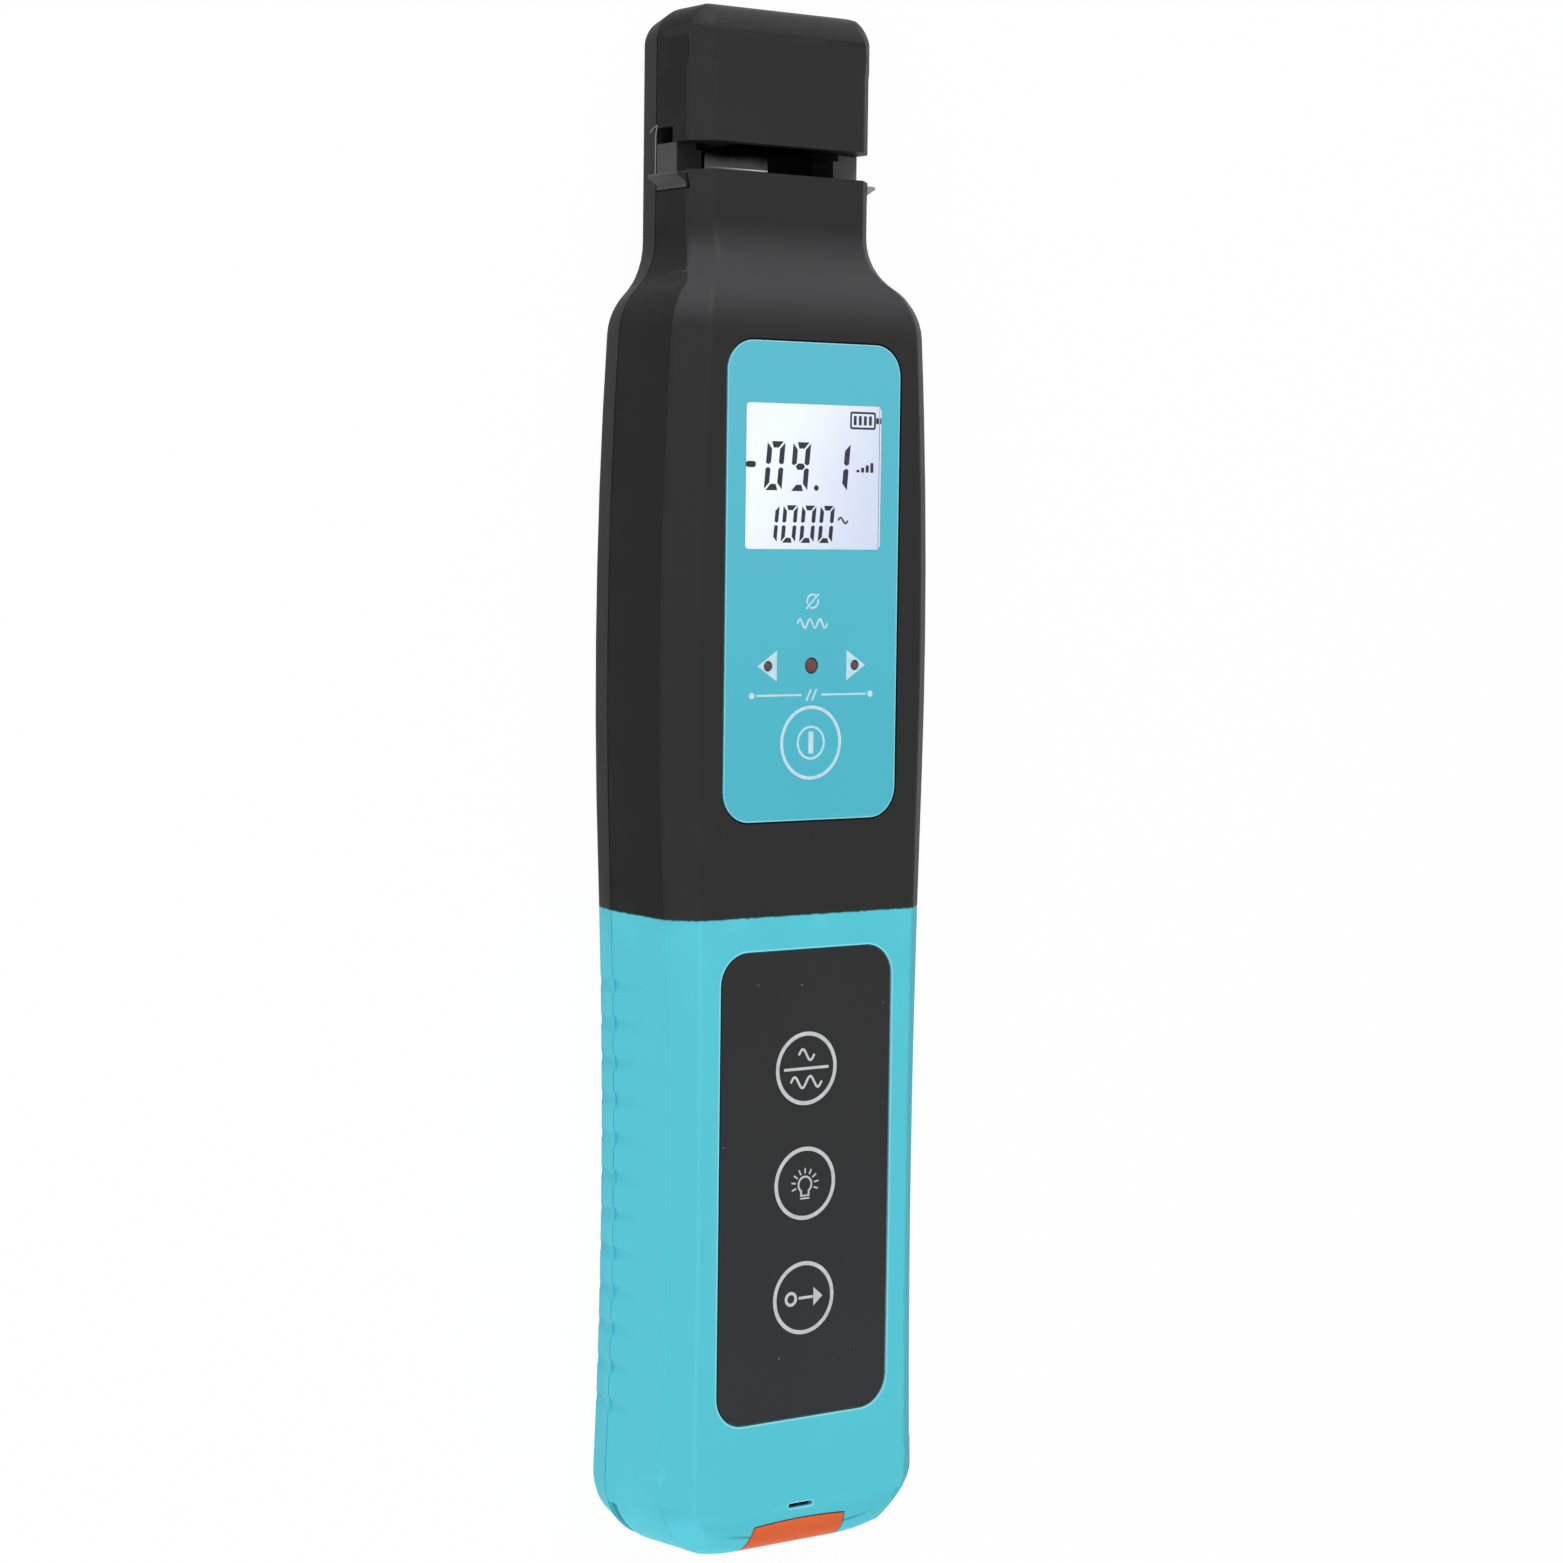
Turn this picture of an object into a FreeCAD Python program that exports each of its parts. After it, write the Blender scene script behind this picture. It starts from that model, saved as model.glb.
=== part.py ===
import FreeCAD
import Part
import math
import os

# Optical fibre identifier, lying on its back. X runs across the tool, Y runs from the laser
# port up to the clamping head, Z comes out of the front. The back lies on z = 0, and the origin
# is under the middle of the tool. Heights along the tool are measured from its lower end.

Vector = FreeCAD.Vector

# Lengths along the tool, from the lower end
grip_height = 82.2
flank_shoulder_start = 155.2
front_shoulder_start = 154.6
chamfer_shoulder_start = 155.2
neck_top = 175.2
slot_height = 3.55
head_height = 17.25

# Depths above the back
body_depth = 22.0
neck_depth = 15.8
seam_depth = 6.3

# Widths, as halves, and the curves of the flanks
barrel_half = 20.4
barrel_at = 115.0
barrel_radius = 634.0
waist_half = 18.87
waist_at = 47.0
neck_half = 13.9
body_chamfer = 3.4
waist_chamfer = 2.7
neck_chamfer = 2.5

# Rounding and draft
flank_shoulder_radius = 8.5
front_shoulder_radius = 10.6
chamfer_shoulder_radius = 8.0
lower_corner_radius = 8.5
lower_front_radius = 5.5
head_corner_radius = 4.3
head_front_radius = 4.3
corner_ease = 0.15
back_edge_radius = 1.8
back_edge_steps = 3
rear_draft_deg = 13.0

# Walls and gaps
shell_wall = 2.2
grip_skin = 1.1
fit_gap = 0.15
run_gap = 0.3
thread_gap = 0.02
seam_groove = 0.3
seam_groove_depth = 0.3
embed = 0.5
over = 1.0
clear = 5.0

# Grip ribs
rib_count = 12
rib_first = 18.3
rib_pitch = 4.915
rib_depth = 0.35
rib_radius = 2.2
rib_reach = 8.5

# Labels, display window and keys
label_thickness = 0.4
label_gap = 0.22
label_corner = 3.9
upper_label_size = (26.4, 59.9)
upper_label_low = 94.1
lower_label_size = (26.0, 59.9)
lower_label_low = 17.7
window_size = (20.9, 18.3)
window_low = 128.1
window_corner = 0.6
window_thickness = 0.8
display_margin = 2.0
display_glass_thickness = 2.8
backlight_thickness = 2.8
key_radius = 4.75
key_gap = 0.1
key_travel = 0.45
key_stem_radius = 2.0
key_stem_tail = 0.5
key_heights = {"power": 103.9, "unit": 62.5, "light": 47.75, "laser": 33.0}
led_height = 113.6
led_spacing = 6.65
led_body_radius = 1.5
led_gap = 0.08
led_recess = 0.05
led_tip_radii = {"left_led": 0.6, "signal_led": 1.0, "right_led": 0.6}

# Main board and what stands on it
board_thickness = 1.6
board_half = 15.4
board_low = 8.0
board_high = 149.2
board_corner = 5.0
switch_half = 3.0
switch_height = 2.8
plunger_radius = 1.6
plunger_sink = 0.6
sounder_radius = 4.2
sounder_height = 3.0
sounder_hole_radius = 0.8
sounder_at = 12.8
sound_slot = (3.8, 0.68)
sound_slot_corner = 0.25
sound_slot_at = 6.15

# Screws
case_screw_radius = 1.2
case_screw_head_radius = 2.0
case_screw_head = 1.5
case_screw_recess = 0.5
case_screw_length = 11.0
case_boss_wall = 1.6
screw_seat_wall = 1.0
pilot_spare = 0.5
case_screw_places = ((14.3, 12.6), (14.3, 88.0), (13.8, 152.4))
head_screw_at = 7.6
head_screw_rise = 10.95
head_screw_length = 9.0
board_screw_radius = 0.9
board_screw_head_radius = 1.6
board_screw_head = 1.0
board_screw_length = 4.0
board_boss_wall = 0.4
board_screw_places = ((13.2, 26.0), (13.2, 78.0), (13.2, 120.0))
cross_reach = 0.55
cross_depth = 0.5
cross_half = 0.22

# Fibre slot, clamp and head
lip_drop = 2.35
lip_reach = 1.4
lip_tip_drop = 0.85
lip_tip = 0.5
lip_shoulder = 0.35
lip_slope = 1.0
lip_under = 0.75
post_width = 3.8
post_depth = 4.6
post_step = (0.8, 0.75)
guide_height = 6.4
notch_depth = 3.7
notch_height = 2.0
head_floor = 1.7
anvil_half = 6.5
anvil_height = 5.6
anvil_arch = 1.0
anvil_plate_half = 4.9
anvil_plate_thickness = 1.4
anvil_plate_drop = 5.5
anvil_plate_rise = 3.6
anvil_screw_at = 2.8
piston_half = 6.0
piston_height = 9.0
piston_sink = 0.2
piston_behind = 0.5
clamp_travel = 3.8
clamp_rod_radius = 1.9
clamp_spring_radius = 2.8
clamp_spring_wire = 0.35
clamp_spring_turns = 6
clamp_spring_length = 11.0
clamp_rib_thickness = 1.6
clamp_rib_half = 8.9
clamp_rib_below_piston = 1.6
trigger_half = 6.0
trigger_height = 15.0
trigger_recess = 0.25
trigger_flange = 1.8
trigger_flange_thickness = 1.5
trigger_lug_half = 4.0
trigger_lug_height = 2.6
trigger_lug_wall = 1.0
trigger_groove_count = 5
trigger_groove_radius = 0.8
trigger_groove_depth = 0.45
trigger_groove_margin = 1.2
photodiode_radius = 2.0
photodiode_height = 4.2
photodiode_flange = 0.4
photodiode_flange_height = 0.6
photodiode_at = 9.0
photodiode_view_radius = 1.3
sensor_board_thickness = 1.2

# Laser port and its cap
laser_under_board = 0.1
laser_radius = 3.5
laser_length = 12.0
laser_groove_shares = (0.3, 0.45, 0.6)
laser_groove_width = 0.6
laser_groove_depth = 0.4
ferrule_bore_radius = 1.26
sleeve_radius = 3.0
sleeve_length = 4.6
end_wall_thickness = 2.5
end_wall_top = 17.0
cap_height = 4.0
cap_half_top = 6.9
cap_half_low = 7.5
cap_arch = 0.33
cap_gap = 0.2
cap_axis_depth = 3.2
cap_axis_height = 2.2
cap_knuckle_radius = 1.5
cap_knuckle_half = 6.2
cap_ear_radius = 2.3
cap_pin_radius = 0.6
cap_pin_gap = 0.04
cap_pin_half = 8.6
ear_wall = 0.9
cap_recess_depth = 1.6
strap_slot_width = 2.0
strap_slot_high = 5.8
strap_slot_inner = 11.5

# Facets of the coil springs
coil_steps = 14
coil_sides = 6

# Battery bay
cell_radius = 5.2
cell_length = 44.5
cell_nub_radius = 1.9
cell_nub = 1.0
cell_spacing = 5.6
bay_low = 22.0
bay_wall = 1.2
bay_wall_top = 12.0
contact_plate = 0.4
contact_plate_half = 3.2
contact_spring_radius = 2.4
contact_spring_wire = 0.35
contact_spring_turns = 3
contact_spring_length = 2.8
cover_gap = 0.25
cover_recess = 0.15
cover_tab_places = (-7.0, 7.0)
cover_tab_half = 1.6
cover_tab_reach = 1.2
cover_tab_foot = 1.6
cover_tab_thickness = 0.9
cover_tab_room = 2.6
dip_radius = 9.0
dip_depth = 0.8
dip_from_end = 5.5

# Sizes that follow from those above
head_low = neck_top + slot_height
overall_length = head_low + head_height
draft = math.tan(math.radians(rear_draft_deg))
front_inside = body_depth - shell_wall
neck_inside = neck_depth - shell_wall
label_floor = body_depth - label_thickness
display_front = body_depth - window_thickness
board_top = display_front - display_glass_thickness - backlight_thickness
board_under = board_top - board_thickness
laser_depth = board_under - laser_under_board - laser_radius
key_floor = label_floor - key_travel - fit_gap
switch_top = board_top + switch_height
key_stem_end = front_inside - key_stem_tail
case_boss_radius = case_screw_radius + case_boss_wall
case_screw_seat = case_screw_recess + case_screw_head
bay_high = bay_low + 2 * bay_wall + 2 * contact_plate + contact_spring_length + cell_length
bay_half = cell_spacing + cell_radius + run_gap
anvil_radius = (anvil_half**2 + anvil_arch**2) / (2 * anvil_arch)
piston_top = neck_top - piston_sink
plate_front = shell_wall + anvil_plate_thickness
piston_back = plate_front + piston_behind
piston_front = neck_inside - piston_behind
clamp_axis_depth = (piston_back + piston_front) / 2
clamp_rib_high = piston_top - piston_height - clamp_rib_below_piston
lug_high = clamp_rib_high - clamp_rib_thickness - clamp_spring_length
trigger_low = lug_high - trigger_lug_height - trigger_height
flange_back = shell_wall + run_gap
guide_low = neck_top - guide_height
port_end = cap_height + cap_gap
port_wall_high = port_end + end_wall_thickness
sleeve_high = port_end + sleeve_length
cell_low = bay_low + bay_wall + contact_plate + contact_spring_length
cell_depth = shell_wall + cell_radius + run_gap
mid_length = overall_length / 2
quarter = math.pi / 2
join_gap = 0.01


def point(x, height, depth):
    """A point given by its height along the tool and its depth above the back."""
    return Vector(x, height - mid_length, depth)


def block(x_low, x_high, low, high, back, front):
    """A box between two widths, two heights and two depths."""
    return Part.makeBox(x_high - x_low, high - low, front - back, point(x_low, low, back))


def centred_block(half, low, high, back, front):
    """A box that is symmetric about the middle of the tool."""
    return block(-half, half, low, high, back, front)


def post_along_z(radius, x, height, back, front):
    """A round post that points out of the front."""
    return Part.makeCylinder(radius, front - back, point(x, height, back), Vector(0, 0, 1))


def post_along_y(radius, x, depth, low, high):
    """A round post that points towards the head."""
    return Part.makeCylinder(radius, high - low, point(x, low, depth), Vector(0, 1, 0))


def post_along_x(radius, half, height, depth):
    """A round post across the tool."""
    return Part.makeCylinder(radius, 2 * half, point(-half, height, depth), Vector(1, 0, 0))


def plate(size, low, corner, back, front):
    """A flat plate with rounded corners, centred across the tool."""
    half = size[0] / 2
    body = centred_block(half, low, low + size[1], back, front)
    upright = [edge for edge in body.Edges if abs(edge.tangentAt(edge.FirstParameter).z) > 0.99]
    return body.makeFillet(corner, upright)


def mirrored(shape):
    """The same shape on the other side of the tool."""
    return shape.mirror(Vector(0, 0, 0), Vector(1, 0, 0))


def both_sides(shape):
    """A shape and its mirror image, as a list."""
    return [shape, mirrored(shape)]


def fuse_all(first, others):
    """One shape made of several."""
    return first.fuse(others).removeSplitter()


class Flank:
    """A long side line of the body: a waist, a barrel, and a shoulder in to the neck."""

    def __init__(self, barrel, waist, neck, curve_radius, turn_radius, turn_start):
        self.barrel = barrel
        self.waist = waist
        self.curve_radius = curve_radius
        self.turn_radius = turn_radius
        self.turn_start = turn_start
        span = barrel_at - waist_at
        self.inflection = barrel_at - 2 * curve_radius * (barrel - waist) / span
        rise = (self.inflection - waist_at) / (barrel_at - self.inflection)
        self.waist_radius = curve_radius * rise
        step = self.out_at(turn_start) - neck
        lean = self.lean_at(turn_start)
        self.turn = math.acos((1 + math.cos(lean) - step / turn_radius) / 2)

    def out_at(self, height):
        """How far out the line lies at a height on the body."""
        if height < self.inflection:
            return self.waist + (height - waist_at) ** 2 / (2 * self.waist_radius)
        return self.barrel - (height - barrel_at) ** 2 / (2 * self.curve_radius)

    def lean_at(self, height):
        """How far the line leans inwards at a height on the body, in radians."""
        if height < self.inflection:
            return math.asin((waist_at - height) / self.waist_radius)
        return math.asin((height - barrel_at) / self.curve_radius)

    def inset_point(self, height, inset):
        """A point of the line, moved square to it by an inset."""
        lean = self.lean_at(height)
        return self.out_at(height) - inset * math.cos(lean), height - inset * math.sin(lean)

    def body_arc(self, low, high, inset):
        """One arc of the body between two heights, as three points."""
        return [self.inset_point(height, inset) for height in (low, (low + high) / 2, high)]

    def body_arcs(self, low, inset):
        """The waist and the barrel, from a height up to the shoulder."""
        waist = self.body_arc(low, self.inflection, inset)
        return [waist, self.body_arc(self.inflection, self.turn_start, inset)]

    def shoulder_arcs(self, inset):
        """The two arcs of the shoulder, each as three points."""
        radius = self.turn_radius
        lean = self.lean_at(self.turn_start)
        first = self.inset_point(self.turn_start, radius)
        reach = 2 * radius
        second = (first[0] + reach * math.cos(self.turn), first[1] + reach * math.sin(self.turn))
        return [
            round_arc(first, radius - inset, lean, self.turn),
            round_arc(second, -radius - inset, self.turn, 0),
        ]


def round_arc(centre, radius, start, end):
    """Three points on an arc between two angles in radians."""
    angles = (start, (start + end) / 2, end)
    return [(centre[0] + radius * math.cos(a), centre[1] + radius * math.sin(a)) for a in angles]


def chain(arcs, place):
    """Edges along a row of three-point arcs, with straight lines where they don't meet."""
    edges = []
    last = None
    for arc in arcs:
        points = [place(*pair) for pair in arc]
        if last is not None and last.distanceToPoint(points[0]) > join_gap:
            edges.append(Part.makeLine(last, points[0]))
        elif last is not None:
            points[0] = last
        if len(points) == 3:
            edges.append(Part.Arc(*points).toShape())
        last = points[-1]
    return edges


flank = Flank(
    barrel_half, waist_half, neck_half, barrel_radius, flank_shoulder_radius, flank_shoulder_start
)
diagonal = math.sqrt(2)
facet = Flank(
    (barrel_half + body_depth - body_chamfer) / diagonal,
    (waist_half + body_depth - waist_chamfer) / diagonal,
    (neck_half + neck_depth - neck_chamfer) / diagonal,
    barrel_radius * diagonal,
    chamfer_shoulder_radius,
    chamfer_shoulder_start,
)


foot = (1 + waist_at / flank.waist_radius) / (1 / lower_corner_radius + 1 / flank.waist_radius)
foot_centre = flank.inset_point(foot, lower_corner_radius)
top_centre = (neck_half - head_corner_radius, overall_length - head_corner_radius)


def outline_edges(inset, depth):
    """The front view of the tool as a closed row of edges at one depth."""
    right = [round_arc(foot_centre, lower_corner_radius - inset, -quarter, flank.lean_at(foot))]
    right += flank.body_arcs(foot, inset) + flank.shoulder_arcs(inset)
    right.append(round_arc(top_centre, head_corner_radius - inset, 0, quarter))
    left = [[(-x, height) for x, height in reversed(arc)] for arc in reversed(right)]
    start = [right[0][0]]
    return chain(right + left + [start], lambda x, height: point(x, height, depth))


def outline_face(inset, depth):
    """The front view of the tool as a flat face at one depth."""
    return Part.Face(Part.Wire(outline_edges(inset, depth)))


def outline_stack(sections):
    """A solid with straight sides between outlines, each given by its inset and its depth."""
    faces = [outline_face(*sections[0]), outline_face(*sections[-1])]
    rows = [outline_edges(*section) for section in sections]
    for lower, upper in zip(rows, rows[1:]):
        faces += [Part.makeRuledSurface(near, far) for near, far in zip(lower, upper)]
    shell = Part.makeShell(faces)
    shell.sewShape()
    solid = Part.makeSolid(shell)
    if solid.Volume < 0:
        solid.reverse()
    return solid


def front_prism(inset, back):
    """The front view drawn out through the depth of the tool."""
    return outline_face(inset, back).extrude(Vector(0, 0, body_depth - back + over))


def side_prism(inset, back):
    """The side view drawn out across the tool."""
    reach = barrel_half + clear
    radius = front_shoulder_radius
    turn = math.acos(1 - (body_depth - neck_depth) / (2 * radius))
    lower_centre = (body_depth - radius, front_shoulder_start)
    upper_centre = (
        lower_centre[0] + 2 * radius * math.cos(turn),
        lower_centre[1] + 2 * radius * math.sin(turn),
    )
    end_centre = (body_depth - lower_front_radius, lower_front_radius)
    head_centre = (neck_depth - head_front_radius, overall_length - head_front_radius)
    arcs = [
        [(back, inset)],
        round_arc(end_centre, lower_front_radius - inset, -quarter, 0),
        round_arc(lower_centre, radius - inset, 0, turn),
        round_arc(upper_centre, -radius - inset, turn, 0),
        round_arc(head_centre, head_front_radius - inset, 0, quarter),
        [(back, overall_length - inset)],
        [(back, inset)],
    ]
    wire = Part.Wire(chain(arcs, lambda depth, height: point(-reach, height, depth)))
    return Part.Face(wire).extrude(Vector(2 * reach, 0, 0))


def facet_prism(inset):
    """The sloping facet beside the front face, drawn out along its slope, for the right side."""
    reach = 2 * barrel_half
    low = -clear
    high = overall_length + clear
    line = facet.body_arcs(low, inset) + facet.shoulder_arcs(inset)
    neck = line[-1][-1][0]
    arcs = [[(-reach, low)]] + line + [[(neck, high)], [(-reach, high)], [(-reach, low)]]

    def place(out, height):
        """A point of the facet's profile, set back along the slope."""
        return point((out - reach) / diagonal, height, (out + reach) / diagonal)

    slope = Vector(2 * reach / diagonal, 0, -2 * reach / diagonal)
    return Part.Face(Part.Wire(chain(arcs, place))).extrude(slope)


def corner_waste(inset, centre, radius, chamfer, front, outward):
    """What is lost where the facet turns a corner of the front, on the right side."""
    x, height = centre
    apex = front + radius - chamfer - diagonal * inset
    back = front - chamfer - over
    tip = min(front + over, apex)
    cone = Part.makeCone(apex - back, apex - tip, tip - back, point(x, height, back), Vector(0, 0, 1))
    low, high = sorted((height, height + outward * (radius + clear)))
    return block(x, x + radius + clear, low, high, back, front + over).cut(cone)


def corner_wastes(inset):
    """What the four corners of the front lose to the facet."""
    chamfer = flank.out_at(foot) + body_depth - diagonal * facet.out_at(foot) - corner_ease
    lower = corner_waste(inset, foot_centre, lower_corner_radius, chamfer, body_depth, -1)
    upper = corner_waste(
        inset, top_centre, head_corner_radius, neck_chamfer - corner_ease, neck_depth, 1
    )
    return both_sides(lower) + both_sides(upper)


def front_form(inset, back):
    """The tool's outer form in front of a depth, moved in by an inset."""
    form = front_prism(inset, back).common(side_prism(inset, back))
    slope = facet_prism(inset)
    return form.common(slope).common(mirrored(slope)).cut(corner_wastes(inset))


def rear_form(inset, front, back_inset):
    """The drafted rear half of the tool, up to the seam, moved in by an inset."""
    sections = [(inset + draft * (seam_depth - depth), depth) for depth in (back_inset, front)]
    return outline_stack(sections)


def rounded_rear_form():
    """The rear half with its back edge rounded."""
    sections = []
    for step in range(back_edge_steps + 1):
        angle = math.radians(90 * (1 - step / back_edge_steps))
        depth = back_edge_radius * (1 - math.sin(angle))
        inset = draft * (seam_depth - depth) + back_edge_radius * (1 - math.cos(angle))
        sections.append((inset, depth))
    sections.append((0, seam_depth))
    return outline_stack(sections)


def below(height):
    """Everything below a height along the tool."""
    return centred_block(2 * barrel_half, -clear, height, -clear, body_depth + clear)


def above(height):
    """Everything above a height along the tool."""
    high = overall_length + clear
    return centred_block(2 * barrel_half, height, high, -clear, body_depth + clear)


def cap_crown(half, low, back, front):
    """The low arch along the front of the port cap's upper edge."""
    left = point(-half, low, back)
    right = point(half, low, back)
    arch = Part.Arc(left, point(0, low + cap_arch, back), right).toShape()
    outline = Part.Wire([arch, Part.makeLine(right, left)])
    return Part.Face(outline).extrude(Vector(0, 0, front - back))


def cap_wedge(gap, back, front):
    """The tapered prism that the port cap fills in the lower end."""
    slope = (cap_half_low - cap_half_top) / cap_height
    low = -clear
    high = cap_height + gap
    low_half = cap_half_top + slope * (cap_height - low) + gap
    high_half = cap_half_top + gap
    corners = [(-low_half, low), (low_half, low), (high_half, high), (-high_half, high)]
    wire = Part.makePolygon([point(x, height, back) for x, height in corners + corners[:1]])
    wedge = Part.Face(wire).extrude(Vector(0, 0, front - back))
    wedge = wedge.fuse(cap_crown(high_half, high, end_wall_top + 2 * cap_gap - gap, front))
    ear = post_along_x(cap_ear_radius - gap, 2 * low_half, cap_axis_height, cap_axis_depth)
    middle = centred_block(cap_knuckle_half + gap, low, high + over, back - over, front)
    return wedge.cut(ear.cut(middle))


def port_pocket():
    """The room that the port cap and its knuckle take in the lower end."""
    wedge = cap_wedge(cap_gap, cap_axis_depth - cap_gap, body_depth + clear)
    knuckle = post_along_x(
        cap_knuckle_radius + cap_gap, cap_knuckle_half + cap_gap, cap_axis_height, cap_axis_depth
    )
    back = cap_axis_depth - cap_knuckle_radius - 3 * cap_gap
    front = cap_axis_depth + cap_knuckle_radius
    way_out = centred_block(cap_knuckle_half + cap_gap, -clear, cap_axis_height, back, front)
    return fuse_all(wedge, [knuckle, way_out])


def strap_slot():
    """The slot for a wrist strap, round the lower left corner just above the seam."""
    outer = -barrel_half - clear
    front = seam_depth + strap_slot_width
    return block(outer, -strap_slot_inner, -clear, strap_slot_high, seam_depth - over, front)


def case_screw_spots():
    """Where the case screws stand, on both sides."""
    return [(side * x, height) for x, height in case_screw_places for side in (-1, 1)]


def head_screw_spots():
    """Where the two screws of the head stand."""
    return [(side * head_screw_at, head_low + head_screw_rise) for side in (-1, 1)]


def board_screw_spots():
    """Where the board is screwed to the front shell."""
    return [(side * x, height) for x, height in board_screw_places for side in (-1, 1)]


def pilot_holes(spots, length):
    """The holes that the case screws bite in."""
    front = case_screw_seat + length + pilot_spare
    radius = case_screw_radius + thread_gap
    return [post_along_z(radius, x, height, -over, front) for x, height in spots]


def screw_ways(spots):
    """The stepped holes for case screws in the rear shell."""
    ways = []
    for x, height in spots:
        ways.append(post_along_z(case_screw_head_radius + fit_gap, x, height, -over, case_screw_seat))
        ways.append(post_along_z(case_screw_radius + fit_gap, x, height, -over, seam_depth + over))
    return ways


def label_recess(size, low):
    """The shallow recess that a label film lies in."""
    grown = (size[0] + 2 * label_gap, size[1] + 2 * label_gap)
    return plate(grown, low - label_gap, label_corner + label_gap, label_floor, body_depth + over)


def key_ways(height):
    """The dished seat and the stem hole of one key."""
    seat = post_along_z(key_radius + 2 * key_gap, 0, height, key_floor, body_depth + over)
    hole = post_along_z(key_stem_radius + fit_gap, 0, height, front_inside - over, body_depth + over)
    return [seat, hole]


def led_places():
    """Each LED's name with its place across the tool and its tip radius."""
    return [
        (name, (index - 1) * led_spacing, radius)
        for index, (name, radius) in enumerate(led_tip_radii.items())
    ]


def led_ways():
    """The holes that the LED tips stand in."""
    front = body_depth + over
    return [
        post_along_z(radius + led_gap, x, led_height, 0, front) for name, x, radius in led_places()
    ]


def window_way():
    """The opening for the display window."""
    return plate(window_size, window_low, window_corner, front_inside - over, body_depth + over)


def front_ways():
    """Every opening in the front face."""
    ways = [label_recess(upper_label_size, upper_label_low)]
    ways.append(label_recess(lower_label_size, lower_label_low))
    for height in key_heights.values():
        ways += key_ways(height)
    low = sound_slot_at - sound_slot[1] / 2
    sound = plate(sound_slot, low, sound_slot_corner, front_inside - over, body_depth + over)
    return ways + led_ways() + [window_way(), sound, port_pocket(), strap_slot()]


def slot_side_cuts():
    """What the neck's side walls lose to make room for the rounded lips."""
    front = neck_depth - neck_chamfer
    inner = neck_half - shell_wall - over
    low = neck_top - lip_drop
    return both_sides(block(inner, neck_half + clear, low, neck_top + clear, 0, front))


def rib_grooves(drafted):
    """The soft grooves across the flanks, tapering out forward of the seam."""
    grooves = []
    for index in range(rib_count):
        height = rib_first + index * rib_pitch
        out = flank.out_at(height)
        deep = Vector(out + rib_radius - rib_depth, height - mid_length, seam_depth)
        slope = Vector(draft, 0, 1) if drafted else Vector(rib_depth / rib_reach, 0, 1)
        slope.normalize()
        start = deep - slope * (seam_depth + clear) if drafted else deep
        length = seam_depth + clear if drafted else rib_reach + clear
        groove = Part.makeCylinder(rib_radius, length, start, slope)
        grooves += both_sides(groove)
    return grooves


def front_shell():
    """The black front half below the slot, with bosses, pegs and the laser port's wall."""
    bare = front_form(grip_skin, seam_depth).common(below(grip_height))
    flush = front_form(0, seam_depth).common(above(grip_height)).common(below(neck_top))
    cavity = front_form(shell_wall, seam_depth - over)
    black = bare.fuse(flush).removeSplitter()
    adds = []
    for x, height in case_screw_spots():
        adds.append(post_along_z(case_boss_radius, x, height, seam_depth, front_inside + embed))
    boss_radius = board_screw_head_radius + board_boss_wall
    for x, height in board_screw_spots():
        adds.append(post_along_z(boss_radius, x, height, board_top, front_inside + embed))
    adds.append(centred_block(barrel_half, port_end, port_wall_high, seam_depth, end_wall_top))
    shell = fuse_all(black.cut(cavity), [add.common(black) for add in adds])
    holes = pilot_holes(case_screw_spots(), case_screw_length)
    hole_end = board_under + board_screw_length + run_gap
    for x, height in board_screw_spots():
        holes.append(post_along_z(board_screw_radius + thread_gap, x, height, board_under, hole_end))
    holes.append(post_along_y(sleeve_radius + fit_gap, 0, laser_depth, 0, port_wall_high + over))
    return shell.cut(front_ways() + slot_side_cuts() + holes)


def front_grip():
    """The soft blue lower half of the front."""
    skin = front_form(0, seam_depth).cut(front_form(grip_skin, seam_depth - over))
    return skin.common(below(grip_height)).cut(front_ways() + rib_grooves(False))


def seam_line():
    """The shallow groove along the seam on the rear half."""
    low = seam_depth - seam_groove
    ring = outline_face(-over, low).extrude(Vector(0, 0, seam_groove + over))
    core = outline_face(seam_groove_depth, low - over).extrude(Vector(0, 0, seam_groove + 3 * over))
    return ring.cut(core)


def trigger_way():
    """The opening in the back that the trigger's pad slides in."""
    high = trigger_low + trigger_height + clamp_travel + run_gap
    half = trigger_half + run_gap
    return centred_block(half, trigger_low - run_gap, high, -over, shell_wall + embed)


def cover_way():
    """The opening of the battery bay in the back."""
    high = bay_high - bay_wall
    return centred_block(bay_half, bay_low + bay_wall, high, -over, shell_wall + embed)


def bay_frame():
    """The walls round the battery bay, standing on the back."""
    outer = centred_block(bay_half + bay_wall, bay_low, bay_high, shell_wall - embed, bay_wall_top)
    inner_high = bay_high - bay_wall
    inner = centred_block(bay_half, bay_low + bay_wall, inner_high, -over, bay_wall_top + over)
    high = bay_low + cover_tab_reach + run_gap + bay_wall
    front = shell_wall + cover_tab_room
    half = cover_tab_half + run_gap
    tabs = [
        block(x - half, x + half, bay_low - over, high, shell_wall, front) for x in cover_tab_places
    ]
    return outer.cut([inner] + tabs)


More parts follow.
